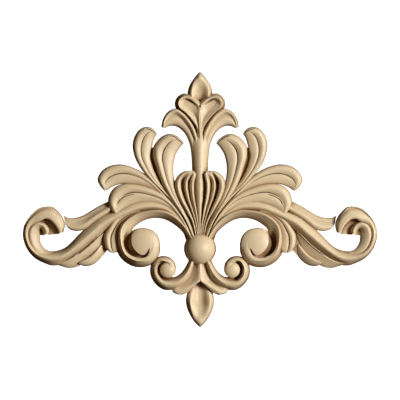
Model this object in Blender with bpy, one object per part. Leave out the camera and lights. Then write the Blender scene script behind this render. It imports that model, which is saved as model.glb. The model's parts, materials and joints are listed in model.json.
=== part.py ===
"""Carved onlay: scrolls and acanthus leaves round a boss, flat on the back, made in one piece.

The origin lies on the back face behind the boss. The front faces -Y, +X is to the right, +Z is up.
Every leaf and scroll is a lobe: a closed band lofted between an outer and an inner edge line.
All lobes overlap, and one Boolean unites them and cuts the back flat.
"""
import math

import bmesh
import bpy
import numpy as np

MM = 0.001

# Driving dimensions, in millimetres
BOSS_RADIUS = 15.8
BOSS_RIM = 8.0
BOSS_TOP = 20.0
FAN_TOP = (10.5, 13.0, 9.5, 12.0)
SMALL_LEAF_TOP = 14.5
STEM_TOP = 11.5
HEART_TOP = 13.0
SIDE_LEAF_TOP = 9.5
BUD_TOP = 8.5
SCROLL_CENTRE = (55.0, 8.5)
SCROLL_RIM = 14.0
SCROLL_EYE = (54.0, 6.1)
SCROLL_EYE_RADIUS = 14.4
SCROLL_EYE_RIM = 8.5
SCROLL_EYE_TOP = 14.6
VOLUTE_CENTRE = (36.0, -24.0)
VOLUTE_RIM = 12.5
VOLUTE_EYE = (31.9, -21.0)
VOLUTE_EYE_RADIUS = 7.6
VOLUTE_EYE_RIM = 8.0
VOLUTE_EYE_TOP = 12.6
CURL_TOP = 13.0
WEB_TOP = 11.4
WEB_FLOOR = 5.0
LEAF_WEB_TOP = 4.5
SCROLL_WEB_TOP = 3.0
GROUND_TOP = 5.0
WING_LEAF_TOP = 9.0
LOBE_TOP = (8.0, 7.0)
EAR_TOP = 9.0
SKIRT_TOP = 9.8
BACK_ALLOWANCE = 4.0
EDGE = 0.3
FLAT_ANGLE = 2.0
POLE_SHARE = 0.08
CUTTER_SIZE = (500.0, 20.0, 500.0)
CUTTER_MIDDLE = (0.0, 10.0, 50.0)
WEB_ROWS = 5
GROUND_ROWS = 8
FACE_ROWS = 8
LEAF_ROWS = 12
SMALL_LEAF_ROWS = 14
HEART_ROWS = 17
CURL_ROWS = 16
SCROLL_ROWS = 30
WING_ROWS = 36
BOSS_CUTS = (28, 6)
SCROLL_EYE_CUTS = (22, 5)
VOLUTE_EYE_CUTS = (14, 4)
WOOD_COLOUR = (0.644, 0.479, 0.262, 1.0)
WOOD_ROUGHNESS = 0.62


def curve(points, count):
    """Points spread evenly from rib to rib along a smooth line through the given points."""
    knots = np.array(points, dtype=float)
    steps = np.linalg.norm(np.diff(knots, axis=0), axis=1)
    length = np.concatenate(([0.0], np.cumsum(steps)))
    slope = np.gradient(knots, length, axis=0)
    position = np.linspace(0.0, len(knots) - 1.0, count)
    first = np.minimum(position.astype(int), len(knots) - 2)
    f = (position - first)[:, None]
    step = steps[first][:, None]
    start = (1 + 2 * f) * (1 - f) ** 2 * knots[first] + f * (1 - f) ** 2 * step * slope[first]
    end = f * f * (3 - 2 * f) * knots[first + 1] + f * f * (f - 1) * step * slope[first + 1]
    return start + end


def along(values, count):
    """One value, or a few values spread from root to tip, as one value for each row."""
    values = np.atleast_1d(np.array(values, dtype=float))
    return np.interp(np.linspace(0.0, 1.0, count), np.linspace(0.0, 1.0, len(values)), values)


def winding(centre, radii, start, end):
    """Points on a spiral round a centre, through the given radii at even angles in degrees."""
    angles = np.radians(np.linspace(start, end, len(radii)))
    return [
        (centre[0] + radius * math.cos(angle), centre[1] + radius * math.sin(angle))
        for radius, angle in zip(radii, angles)
    ]


def mirrored(points):
    """The same points on the other side of the middle line."""
    return [(-x, z) for x, z in points]


def add_rings(shape, rings):
    """Skins a list of closed rings of points and caps both ends."""
    loops = [[shape.verts.new((x * MM, y * MM, z * MM)) for x, y, z in ring] for ring in rings]
    for low, high in zip(loops, loops[1:]):
        for i in range(len(low)):
            j = (i + 1) % len(low)
            shape.faces.new((low[i], low[j], high[j], high[i]))
    shape.faces.new(loops[0])
    shape.faces.new(loops[-1])


def lobe(outer, inner, section, rows):
    """Rings of a band between two edge lines, with one raised section carried along it.

    Each station of the section is (share of the width, height, bulge and cuts to the next one).
    """
    left = curve(outer, rows)
    right = curve(inner, rows)
    rib = (right - left) / np.linalg.norm(right - left, axis=1)[:, None]
    left, right = left - EDGE * rib, right + EDGE * rib
    stations = []
    for here, ahead in zip(section, section[1:] + [None]):
        across, height = along(here[0], rows), along(here[1], rows)
        stations.append((across, height))
        if ahead is None:
            continue
        bulge, cuts = here[2], here[3]
        next_across, next_height = along(ahead[0], rows), along(ahead[1], rows)
        for cut in range(1, cuts + 1):
            s = cut / (cuts + 1)
            swell = 4 * s * (1 - s) * along(bulge, rows)
            stations.append((
                across + (next_across - across) * s,
                height + (next_height - height) * s + swell,
            ))
    rings = []
    for row in range(rows):
        ring = [(left[row][0], BACK_ALLOWANCE, left[row][1])]
        for across, height in stations:
            spot = left[row] + (right[row] - left[row]) * across[row]
            ring.append((spot[0], -height[row], spot[1]))
        ring.append((right[row][0], BACK_ALLOWANCE, right[row][1]))
        rings.append(ring)
    return rings


def dome(centre, radius, rim, top, cuts):
    """Rings of a round button: a short cylinder under half an ellipsoid, cut round and up."""
    segments, levels = cuts
    turns = np.linspace(0.0, 2 * math.pi, segments, endpoint=False)
    radius = radius + EDGE
    profile = [(radius, -BACK_ALLOWANCE)]
    for level in range(levels):
        angle = math.radians(90.0 * level / levels)
        profile.append((radius * math.cos(angle), rim + (top - rim) * math.sin(angle)))
    profile.append((radius * POLE_SHARE, top))
    return [
        [(centre[0] + r * math.cos(a), -h, centre[1] + r * math.sin(a)) for a in turns]
        for r, h in profile
    ]


def share(top, *parts):
    """Heights along a lobe, given as shares of its top height."""
    return tuple(top * part for part in parts)


def fan_leaf(outer, inner, top):
    """A long leaf: a raised outer ridge, a vein cut beside it and a flatter inner half."""
    section = [
        (0.0, share(top, 0.35, 0.4, 0.45, 0.45, 0.45, 0.42, 0.35), 0.0, 0),
        (0.24, share(top, 0.85, 0.95, 1.0, 1.0, 0.98, 0.9, 0.7), 0.3, 1),
        (0.47, share(top, 0.85, 0.9, 0.8, 0.76, 0.77, 0.88, 0.72), 0.0, 0),
        (0.57, share(top, 0.8, 0.86, 0.92, 0.93, 0.92, 0.88, 0.72), 0.3, 1),
        (1.0, share(top, 0.5, 0.55, 0.6, 0.6, 0.58, 0.55, 0.45)),
    ]
    return lobe(outer, inner, section, LEAF_ROWS)


def fan_leaves():
    """The four leaves that spread up and out from behind the boss."""
    outer_edges = (
        [(21, 37), (28.5, 47), (37, 56), (49, 68), (58.5, 79.5), (65.5, 93.5), (67, 103.5),
         (65, 112), (60.5, 118.5), (53.5, 121.5), (47.5, 120), (44, 117)],
        [(7, 10), (12.5, 24), (19.5, 36.5), (28.5, 49.5), (37, 63.5), (43.5, 81), (47, 95.5),
         (46.5, 101), (43, 107), (37.5, 112), (30, 114.5), (22.5, 112), (17, 107.5)],
        [(25, 41.5), (35.5, 54.5), (54, 73.5), (65, 80), (80.5, 84), (92, 81.5), (99, 76),
         (102, 68.5), (99, 62), (95.5, 58)],
        [(6.5, 8), (12.5, 22), (21, 37), (35.5, 53), (53, 61.5), (65.5, 64.5), (75, 64.8),
         (85, 61), (90.5, 53), (91.5, 46), (90, 41.5), (86, 35.5), (83, 32.5)],
    )
    inner_edges = (
        [(14, 37), (22, 47.5), (31, 57), (42.5, 71), (48, 83), (50, 93), (49, 98.5),
         (48, 103), (47, 107), (45.8, 110.5), (44.5, 113), (43, 115)],
        [(2, 10), (8, 24), (13.5, 36), (20, 50.5), (26, 69.5), (27, 79), (26.5, 86),
         (25.5, 90.5), (24, 95), (22, 98.5), (20, 101.5), (18, 103.8), (16.3, 105.5)],
        [(27, 39), (38, 50), (52, 59.5), (62, 63.5), (70, 64.6), (77, 65), (82.5, 64),
         (86.5, 62.5), (90, 60.5), (93.5, 58)],
        [(10, 6), (16, 21), (24, 32), (35, 41), (47.5, 45), (54, 46), (60, 46), (65, 44.5),
         (69.5, 43), (73.5, 41), (76.5, 38.5), (79, 36), (81, 33)],
    )
    return [fan_leaf(o, i, top) for o, i, top in zip(outer_edges, inner_edges, FAN_TOP)]


def root_ground():
    """The low ground between the roots of the leaves, that joins them into one piece."""
    outer = [(2, 6), (5, 24), (11, 40), (19, 52), (28, 60), (36, 66)]
    inner = [(12, 3), (18, 20), (28, 34), (40, 46), (48, 57), (49, 66)]
    return lobe(outer, inner, [(0.0, GROUND_TOP, 0.0, 0), (1.0, GROUND_TOP)], GROUND_ROWS)


def leaf_web():
    """The low ground that fills the slit between the first two leaves of the fan."""
    outer = [(33, 58), (43, 71), (48, 83), (50.5, 95), (51, 101)]
    inner = [(27, 56), (36, 70), (42, 83), (45, 95), (46, 101)]
    return lobe(outer, inner, [(0.0, LEAF_WEB_TOP, 0.0, 0), (1.0, LEAF_WEB_TOP)], WEB_ROWS)


def small_leaf():
    """The short pointed leaf beside the stem, hollowed on both sides of a raised vein."""
    outer = [(4, 10), (7.5, 26), (14, 38), (21, 50), (24.8, 61), (24.8, 67.5), (21.5, 73.2),
             (15.8, 77), (9, 78)]
    inner = [(1, 10), (2, 26.5), (4, 40.5), (6, 53.5), (6.2, 62), (5.8, 67), (4.6, 71.5),
             (4.2, 74.5), (6, 77.4)]
    top = SMALL_LEAF_TOP
    section = [
        (0.0, share(top, 0.55, 0.55, 0.55, 0.55, 0.55, 0.55, 0.55, 0.55, 0.5), 0.0, 0),
        (0.16, share(top, 0.82, 0.88, 0.96, 1.0, 1.0, 1.0, 1.0, 0.97, 0.8), 0.0, 0),
        (0.37, share(top, 0.75, 0.66, 0.5, 0.42, 0.4, 0.42, 0.8, 0.98, 0.86), 0.0, 0),
        (0.58, share(top, 0.85, 0.88, 0.92, 0.93, 0.93, 0.9, 0.92, 0.96, 0.86), 0.0, 0),
        (0.76, share(top, 0.78, 0.7, 0.6, 0.55, 0.52, 0.52, 0.82, 0.97, 0.86), 0.0, 0),
        (0.9, share(top, 0.8, 0.88, 0.96, 1.0, 1.0, 1.0, 1.0, 0.97, 0.8), 0.0, 0),
        (1.0, share(top, 0.6, 0.65, 0.72, 0.75, 0.75, 0.72, 0.66, 0.6, 0.5)),
    ]
    return lobe(outer, inner, section, SMALL_LEAF_ROWS)


def side_leaf():
    """The drooping leaf of the top trefoil, with a gutter under its upper rim."""
    outer = [(0.6, 92), (0.6, 103), (1.6, 111.6), (5.2, 120), (10.6, 128.6), (17.2, 135.9),
             (24, 139.6), (30.4, 137.6), (35, 133), (38.2, 126.4), (39, 121)]
    inner = [(7.8, 84), (8.4, 94), (9.6, 102), (11.8, 109), (15.4, 115.6), (19.5, 119.8),
             (23.5, 122.2), (27.4, 123), (30.6, 122.8), (33.2, 121.8), (35.2, 120.4)]
    top = SIDE_LEAF_TOP
    section = [
        (0.0, share(top, 0.3, 0.5, 0.7, 0.7, 0.6, 0.4, 0.3), 0.0, 0),
        (0.15, share(top, 0.66, 1.0, 1.16, 1.14, 1.06, 0.95, 0.7), 0.0, 0),
        ((0.42, 0.42, 0.4, 0.37, 0.35, 0.38, 0.5),
         share(top, 0.76, 0.82, 0.8, 0.72, 0.7, 0.72, 0.72), 0.6, 1),
        (0.84, share(top, 0.6, 0.7, 0.74, 0.74, 0.74, 0.7, 0.64), 0.0, 0),
        (1.0, share(top, 0.35, 0.35, 0.35, 0.35, 0.35, 0.35, 0.35)),
    ]
    return lobe(outer, inner, section, LEAF_ROWS)


def heart_face():
    """One half of the face of the heart-shaped leaf, rising to a ridge on the middle line."""
    outer = [(1.4, 109), (5, 118.5), (8.6, 125.4), (12.6, 131), (17, 137), (20, 143.4),
             (15.5, 149.6)]
    inner = [(-2, 109), (-2, 115), (-2, 120), (-2, 125), (-2, 130), (-2, 135), (-2, 139.6)]
    top = HEART_TOP
    section = [
        (0.0, share(top, 0.5, 0.6, 0.7, 0.68, 0.64, 0.62, 0.62), 0.0, 0),
        (0.45, share(top, 0.7, 0.78, 0.84, 0.81, 0.77, 0.74, 0.72), 0.0, 0),
        (0.86, share(top, 0.82, 0.95, 0.98, 0.94, 0.9, 0.86, 0.82), 0.0, 0),
        (1.0, share(top, 0.7, 0.8, 0.84, 0.84, 0.82, 0.78, 0.76)),
    ]
    return lobe(outer, inner, section, FACE_ROWS)


def heart_rim():
    """The raised rim round one half of the heart-shaped leaf."""
    outer = [(0.6, 110), (4, 116.6), (7.6, 122), (12, 128.4), (18, 134.8), (23.2, 139), (25, 144.6),
             (22.6, 151), (16.6, 154.7), (10.8, 153.7), (5, 150.4), (-0.4, 145.8)]
    inner = [(-1, 119), (0.4, 124), (2.4, 129), (6.6, 133.6), (11.6, 138.8), (15.6, 142.4),
             (16.6, 144.6), (15.4, 146.6), (13, 147), (10, 146), (5.6, 142.4), (2, 138.4)]
    top = HEART_TOP
    section = [
        (0.0, share(top, 0.3, 0.3, 0.32, 0.34, 0.36, 0.4, 0.5), 0.0, 0),
        ((0.56, 0.54, 0.5, 0.44, 0.38, 0.36, 0.36),
         share(top, 0.86, 0.94, 0.98, 1.0, 1.0, 0.98, 0.84), 0.0, 0),
        ((0.74, 0.72, 0.68, 0.64, 0.6, 0.58, 0.56),
         share(top, 0.86, 0.92, 0.94, 0.94, 0.94, 0.93, 0.82), 0.0, 0),
        (1.0, share(top, 0.7, 0.7, 0.6, 0.5, 0.42, 0.42, 0.6)),
    ]
    return lobe(outer, inner, section, HEART_ROWS)


def bud(half_widths, heights, rim, valley):
    """A pointed bud on the middle line, with a hollow between two rims at its root."""
    outer = [(w, z) for w, z in zip(half_widths, heights)]
    section = [
        (0.0, share(BUD_TOP, 0.2, 0.3, 0.3, 0.3, 0.25), 0.0, 0),
        (0.16, rim, 0.0, 1),
        (0.5, valley, 0.0, 1),
        (0.84, rim, 0.0, 0),
        (1.0, share(BUD_TOP, 0.2, 0.3, 0.3, 0.3, 0.25)),
    ]
    return lobe(outer, mirrored(outer), section, LEAF_ROWS)


def top_bud():
    """The bud at the very top, rising from behind the heart."""
    return bud((6, 11, 12.1, 10.2, 7, 3.5, 0.8), (138, 149, 156.5, 163, 168.5, 173, 176.2),
               share(BUD_TOP, 0.9, 1.0, 0.95, 0.8, 0.45), share(BUD_TOP, 0.3, 0.4, 0.8, 1.05, 0.5))


def bottom_bud():
    """The bud at the foot, hanging from under the skirt."""
    return bud((8, 12.2, 13.9, 13, 9.2, 4.6, 0.6), (-31, -43, -51.7, -58, -67.2, -74, -78.1),
               share(BUD_TOP, 0.2, 0.75, 1.0, 0.96, 0.8, 0.4),
               share(BUD_TOP, 0.1, 0.15, 0.35, 0.75, 1.0, 0.5))


def stem():
    """The half-round stalk between the boss and the trefoil."""
    outer = [(3, 10), (4, 30), (5.5, 50), (7, 68), (7.8, 82), (8.3, 92), (9.4, 101), (10.6, 107),
             (9, 113), (4, 118)]
    edge = share(STEM_TOP, 0.4, 0.4, 0.4, 0.4, 0.4, 0.4, 0.4, 0.45, 0.4, 0.35)
    side = share(STEM_TOP, 0.78, 0.78, 0.78, 0.78, 0.78, 0.77, 0.74, 0.7, 0.6, 0.48)
    crest = share(STEM_TOP, 1.0, 1.0, 1.0, 1.0, 1.0, 0.99, 0.97, 0.92, 0.8, 0.6)
    section = [
        (0.0, edge, 0.0, 0),
        (0.2, side, 0.0, 0),
        (0.5, crest, 0.0, 0),
        (0.8, side, 0.0, 0),
        (1.0, edge),
    ]
    return lobe(outer, mirrored(outer), section, LEAF_ROWS)


def big_scroll():
    """The arm that arches from the boss and winds round its eye, with a raised rim."""
    arm_outer = [(4, 5), (8.5, 13), (14.5, 23), (23.5, 32.5), (32.5, 37.5), (42, 39.5)]
    radii = (31, 29.5, 29.5, 29.5, 29.8, 28.2, 25, 19.8, 15.8)
    outer = arm_outer + winding(SCROLL_CENTRE, radii, 98, -170)
    inner = [(9, 1), (12.7, 9.5), (17.5, 17), (26, 24.5), (34, 29), (42, 30.8), (50, 30.2),
             (60.5, 25.8), (68.2, 18), (62.5, 7.3), (60, 0), (56, -3), (53, -1.5), (51, 2.5), (50, 6)]
    top = SCROLL_RIM
    section = [
        (0.0, share(top, 0.5, 0.5, 0.5, 0.45, 0.4, 0.35, 0.3, 0.25, 0.2, 0.2, 0.2, 0.2, 0.3, 0.42,
                    0.46), 0.0, 0),
        ((0.24, 0.22, 0.2, 0.2, 0.2, 0.2, 0.19, 0.19, 0.18, 0.2, 0.24, 0.36, 0.32, 0.28, 0.24),
         share(top, 0.8, 0.9, 0.96, 0.98, 1.0, 1.0, 1.0, 0.98, 0.97, 0.97, 0.97, 0.97, 0.92, 0.86,
               0.82), 0.0, 0),
        ((0.34, 0.32, 0.3, 0.29, 0.28, 0.28, 0.28, 0.28, 0.27, 0.28, 0.31, 0.45, 0.44, 0.4, 0.36),
         share(top, 0.78, 0.88, 0.95, 0.97, 0.98, 0.98, 1.0, 1.0, 1.0, 1.0, 1.0, 1.0, 0.97, 0.92,
               0.88), 0.0, 0),
        ((0.75, 0.75, 0.75, 0.75, 0.75, 0.75, 0.75, 0.75, 0.74, 0.42, 0.5, 0.64, 0.75, 0.8, 0.8),
         share(top, 0.55, 0.6, 0.64, 0.66, 0.66, 0.66, 0.66, 0.66, 0.6, 0.2, 0.18, 0.2, 0.88, 0.96,
               0.96), 0.0, 0),
        (1.0, share(top, 0.35, 0.35, 0.35, 0.35, 0.35, 0.35, 0.35, 0.35, 0.35, 0.15, 0.15, 0.15, 0.8,
                    0.95, 0.95)),
    ]
    return lobe(outer, inner, section, SCROLL_ROWS)


def scroll_web():
    """The low ground between the arch of the big scroll and its eye."""
    outer = [(69.5, 18.6), (70, 10), (66, 0)]
    inner = [(60.5, 19.9), (60, 10), (60, 0)]
    return lobe(outer, inner, [(0.0, SCROLL_WEB_TOP, 0.0, 0), (1.0, SCROLL_WEB_TOP)], WEB_ROWS)


def small_volute():
    """The lower arm that drops from the boss and winds up round a small eye."""
    arm_outer = [(3, -8), (6.5, -18), (10, -27), (17, -35.4), (27, -40.6)]
    arm_inner = [(9.5, -6), (11.7, -13), (14.5, -18.5), (19.5, -25), (25.5, -28.5)]
    outer_radii = (16.8, 14.6, 13.4, 13.3, 13.9, 15.2, 16.3, 16.5, 15.9, 14.5, 12.5, 10.8)
    inner_radii = (6.8, 5.6, 5, 5, 5, 5, 5, 4, 4, 4, 4, 4)
    outer = arm_outer + winding(VOLUTE_CENTRE, outer_radii, -90, 185)
    inner = arm_inner + winding(VOLUTE_EYE, inner_radii, -90, 185)
    top = VOLUTE_RIM
    section = [
        (0.0, share(top, 0.45, 0.45, 0.4, 0.25, 0.15, 0.15, 0.15, 0.2, 0.25, 0.35, 0.5, 0.56),
         0.0, 0),
        ((0.4, 0.4, 0.42, 0.4, 0.36, 0.36, 0.36, 0.36, 0.36, 0.36, 0.36, 0.36),
         share(top, 0.85, 0.92, 0.95, 0.96, 0.97, 0.98, 0.98, 0.98, 0.96, 0.92, 0.86, 0.8), 0.0, 0),
        ((0.52, 0.52, 0.54, 0.52, 0.45, 0.44, 0.44, 0.44, 0.46, 0.5, 0.5, 0.5),
         share(top, 0.85, 0.95, 1.0, 1.0, 1.0, 1.0, 1.0, 1.0, 1.0, 0.96, 0.9, 0.86), 0.0, 0),
        ((0.82, 0.82, 0.84, 0.82, 0.62, 0.6, 0.6, 0.6, 0.66, 0.85, 0.85, 0.85),
         share(top, 0.6, 0.64, 0.66, 0.5, 0.2, 0.16, 0.16, 0.2, 0.4, 0.9, 0.92, 0.92), 0.0, 0),
        (1.0, share(top, 0.4, 0.4, 0.38, 0.3, 0.16, 0.14, 0.14, 0.16, 0.3, 0.88, 0.92, 0.92)),
    ]
    return lobe(outer, inner, section, SCROLL_ROWS)


def wing_arm():
    """The long arm that sweeps outwards and winds up into the thick head of the end scroll."""
    outer = [(10, 4), (16.5, 19), (25.5, 30), (36, 36.5), (50, 38.5), (64, 36), (76, 30.5),
             (85, 25.5), (96, 17), (102.5, 10), (110, 3.5), (118, -3), (126, -8), (134, -13),
             (141, -16), (147.5, -16.6), (156, -14), (165, -9), (171.7, -1.5), (175.4, 7),
             (176.6, 15), (175.3, 22), (171.6, 29.5), (166.2, 35.7), (160, 40.2), (153, 41.8),
             (147, 41.2), (142.3, 37.3), (137.5, 31), (135.3, 24), (136.8, 16.2)]
    inner = [(6, 9), (14, 25), (24, 38), (36, 45.5), (50, 48), (62, 47), (76, 42), (90, 35.7),
             (100.5, 31),
             (108, 25.5), (115, 19.5), (122, 13), (129, 5.5), (135, 0.8), (141, -1.8), (146.2, -2.8),
             (153, -3.5), (160, -2), (165.2, 2), (168.2, 7), (169.4, 12), (169.4, 18),
             (166.5, 22.7), (162.5, 25.8), (159, 28), (154.6, 30), (150.2, 29.4), (146.5, 26.5),
             (143.5, 23), (141.3, 18.5), (140.4, 15.6)]
    crest_heights = (10.4, 10.4, 10.8, 11.6, 12.3, 12.5, 12.5, 12.5, 12.5, 12.5, 12.3, 12.8, 13.8, 14,
                     13.6, 11.6)
    section = [
        (0.0, (5, 5, 5, 4.5, 4, 3.5, 3.5, 3.5, 3.5, 3.5, 3.5, 4.5, 6, 6.5, 6, 5), 0.0, 0),
        (0.2, (9, 9, 9, 8.8, 8.4, 8.2, 8.2, 8.2, 8.2, 8.4, 9.2, 10.6, 11.4, 11.6, 11.2, 9.4), 0.2, 0),
        ((0.5, 0.5, 0.5, 0.5, 0.5, 0.5, 0.5, 0.5, 0.5, 0.5, 0.5, 0.5, 0.6, 0.65, 0.65, 0.6),
         crest_heights, 0.0, 0),
        ((0.86, 0.86, 0.86, 0.86, 0.86, 0.86, 0.86, 0.86, 0.86, 0.86, 0.86, 0.88, 0.92, 0.94, 0.94,
          0.92),
         (8, 8, 8.4, 8.4, 8, 7.4, 7, 6.9, 6.9, 6.9, 7, 9.6, 13, 13.4, 13, 9.6), 0.0, 0),
        (1.0, (5.4, 5.4, 5.6, 5.4, 4.6, 4, 3.5, 3.5, 3.5, 3.5, 3.5, 6, 11.6, 12, 11.4, 8)),
    ]
    return lobe(outer, inner, section, WING_ROWS)


def end_curl():
    """The inner strand of the end scroll, rolled up round a small pit."""
    outer = [(150, -12), (159, -9), (167.4, -0.6), (170.3, 6.2), (171.6, 11.5), (171.2, 18),
             (167.5, 24.2), (161, 26.8), (156, 25.6), (152.5, 22.5), (150.8, 18.3), (152.2, 14.6)]
    inner = [(148, -3), (154, -1.3), (158, 3), (160, 8), (160.2, 12), (160.3, 15.5),
             (160, 18), (159, 19.2), (157.6, 19), (156.6, 18), (156.2, 16.8), (156.4, 15)]
    top = CURL_TOP
    section = [
        (0.0, share(top, 0.5, 0.52, 0.55, 0.58, 0.55, 0.5, 0.45), 0.0, 0),
        ((0.3, 0.28, 0.25, 0.25, 0.27, 0.3, 0.34),
         share(top, 0.6, 0.74, 0.86, 0.96, 1.0, 0.98, 0.84), 0.0, 0),
        ((0.5, 0.48, 0.45, 0.45, 0.48, 0.55, 0.55),
         share(top, 0.6, 0.72, 0.82, 0.9, 0.94, 0.92, 0.8), 0.0, 0),
        (1.0, share(top, 0.4, 0.44, 0.44, 0.44, 0.42, 0.4, 0.4)),
    ]
    return lobe(outer, inner, section, CURL_ROWS)


def end_web():
    """The hollow ground that slopes from the head of the end scroll down to the curl."""
    outer = [(168, 22), (163, 27), (156, 31), (150, 30.5), (146.6, 27), (143.5, 23), (141.4, 18.5),
             (140.6, 15.8)]
    inner = [(165, 18), (160, 20), (156, 21), (153.5, 20), (151.5, 18.5), (150.5, 17), (150, 15.6),
             (149, 14.4)]
    rise = share(WEB_TOP, 0.44, 0.7, 1.0, 1.0, 1.0, 0.96, 0.9, 0.7)
    return lobe(outer, inner, [(0.0, rise, 0.0, 0), (1.0, WEB_FLOOR)], GROUND_ROWS)


def wing_leaf():
    """The fishtail leaf that lies over the wing, its end against the head of the end scroll."""
    outer = [(86, 50), (91.9, 46.8), (95.9, 45), (102.6, 41.5), (109.3, 37.4), (116, 33.4),
             (122.7, 31), (128.5, 30.3), (133, 31), (136, 32.8)]
    inner = [(86, 38), (92.5, 34.5), (97, 31.5), (102.5, 28), (108, 24), (113, 20.3), (119, 18.2),
             (125, 18), (130.5, 19.8), (134.4, 24.5)]
    top = WING_LEAF_TOP
    section = [
        (0.0, share(top, 0.3, 0.3, 0.3, 0.3, 0.3), 0.0, 0),
        (0.35, share(top, 0.66, 0.66, 0.64, 0.58, 0.46), 0.0, 0),
        ((0.65, 0.63, 0.66, 0.7, 0.74), share(top, 1.0, 1.0, 0.98, 0.84, 0.64), 0.0, 0),
        (1.0, share(top, 0.5, 0.5, 0.5, 0.5, 0.45)),
    ]
    return lobe(outer, inner, section, LEAF_ROWS)


def under_leaves():
    """The two overlapping leaves below the wing."""
    upper_edges = (
        [(97, 18.5), (103, 12.5), (109, 6.2), (116, 0.4), (123, -5), (130, -9.6), (137, -13),
         (144, -14.5)],
        [(94, 23), (98.6, 16), (101, 10.6), (104.8, 4.4), (109, -0.8), (113, -5.2), (117, -8.8),
         (119.5, -11.3), (120.8, -13.4)],
    )
    lower_edges = (
        [(96, 13), (99.5, 7.5), (102.5, 1), (108, -6), (115, -12), (121, -17), (131, -19.2),
         (141, -16.8)],
        [(86, 22), (90, 14), (91, 6), (92.3, 0), (95, -4), (99.5, -9), (104.8, -13.9), (111.5, -17),
         (118.8, -17)],
    )
    leaves = []
    for upper, lower, top in zip(upper_edges, lower_edges, LOBE_TOP):
        section = [
            (0.0, share(top, 0.3, 0.32, 0.32, 0.3), 0.0, 0),
            (0.16, share(top, 0.8, 0.95, 1.0, 0.75), 0.0, 0),
            (0.5, share(top, 0.5, 0.66, 0.7, 0.6), 0.0, 0),
            (1.0, share(top, 0.3, 0.3, 0.32, 0.3)),
        ]
        leaves.append(lobe(upper, lower, section, LEAF_ROWS))
    return leaves


def ear_leaf():
    """The leaf tucked between the wing and the big scroll."""
    outer = [(58.5, 37.6), (72.5, 36.4), (84.5, 31), (91.5, 21), (95.5, 13.5), (95.7, 7.5), (94.3, 1.5),
             (91, -2.5)]
    inner = [(58, 33), (67, 29.5), (75, 22), (79, 14.5), (81, 8.5), (82.5, 3), (84, -1.5),
             (86.5, -4)]
    top = EAR_TOP
    section = [
        (0.0, share(top, 0.3, 0.3, 0.3, 0.3), 0.0, 0),
        (0.2, share(top, 0.9, 0.96, 1.0, 0.72), 0.0, 0),
        (0.44, share(top, 0.6, 0.62, 0.64, 0.56), 0.0, 0),
        (0.62, share(top, 0.8, 0.86, 0.86, 0.64), 0.0, 0),
        (1.0, share(top, 0.5, 0.5, 0.5, 0.42)),
    ]
    return lobe(outer, inner, section, LEAF_ROWS)


def skirt_half():
    """One of the pair of leaves below the boss, hollowed between its rim and the middle ridge."""
    outer = [(5, -10), (10, -19), (16, -27), (21, -33), (25.5, -38), (27.7, -41.5), (24, -45.2)]
    inner = [(-1, -10), (-1, -19), (-1, -26), (-0.5, -31.6), (5.5, -37), (12, -42.5), (19, -46)]
    top = SKIRT_TOP
    section = [
        (0.0, share(top, 0.5, 0.5, 0.5, 0.45, 0.4), 0.0, 0),
        (0.34, share(top, 0.65, 0.62, 0.62, 0.66, 0.6), 0.0, 0),
        (0.6, share(top, 0.8, 0.78, 0.8, 0.84, 0.72), 0.0, 0),
        (0.85, share(top, 1.06, 1.06, 1.06, 0.96, 0.7), 0.0, 0),
        (1.0, share(top, 1.1, 1.1, 1.05, 0.7, 0.45)),
    ]
    return lobe(outer, inner, section, LEAF_ROWS)


def half_lobes():
    """Every lobe that the right half has and the left half repeats."""
    lobes = fan_leaves() + under_leaves()
    lobes += [root_ground(), leaf_web(), small_leaf(), side_leaf(), heart_face(), heart_rim()]
    lobes += [big_scroll(), scroll_web(), small_volute(), wing_arm(), end_curl(), end_web()]
    lobes += [wing_leaf(), ear_leaf(), skirt_half()]
    lobes.append(dome(SCROLL_EYE, SCROLL_EYE_RADIUS, SCROLL_EYE_RIM, SCROLL_EYE_TOP, SCROLL_EYE_CUTS))
    lobes.append(dome(VOLUTE_EYE, VOLUTE_EYE_RADIUS, VOLUTE_EYE_RIM, VOLUTE_EYE_TOP, VOLUTE_EYE_CUTS))
    return lobes


def middle_lobes():
    """The lobes that stand on the middle line."""
    boss = dome((0.0, 0.0), BOSS_RADIUS, BOSS_RIM, BOSS_TOP, BOSS_CUTS)
    return [top_bud(), bottom_bud(), stem(), boss]


def wood():
    """Pale, fine-grained wood, smooth and matt."""
    material = bpy.data.materials.new("pale_wood")
    material.use_nodes = True
    shader = material.node_tree.nodes["Principled BSDF"]
    shader.inputs["Base Color"].default_value = WOOD_COLOUR
    shader.inputs["Roughness"].default_value = WOOD_ROUGHNESS
    shader.inputs["Metallic"].default_value = 0.0
    return material


def mesh_object(name, shape):
    """Turns a bmesh into an object with its faces outwards."""
    bmesh.ops.triangulate(shape, faces=shape.faces[:])
    bmesh.ops.recalc_face_normals(shape, faces=shape.faces[:])
    mesh = bpy.data.meshes.new(name)
    shape.to_mesh(mesh)
    shape.free()
    thing = bpy.data.objects.new(name, mesh)
    bpy.context.scene.collection.objects.link(thing)
    return thing


def back_cutter():
    """A slab behind the back plane, that takes off what reaches past it."""
    shape = bmesh.new()
    bmesh.ops.create_cube(shape, size=1.0)
    bmesh.ops.scale(shape, vec=[MM * size for size in CUTTER_SIZE], verts=shape.verts[:])
    bmesh.ops.translate(shape, vec=[MM * place for place in CUTTER_MIDDLE], verts=shape.verts[:])
    cutter = mesh_object("back_cutter", shape)
    cutter.hide_render = True
    cutter.display_type = "WIRE"
    return cutter


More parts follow.
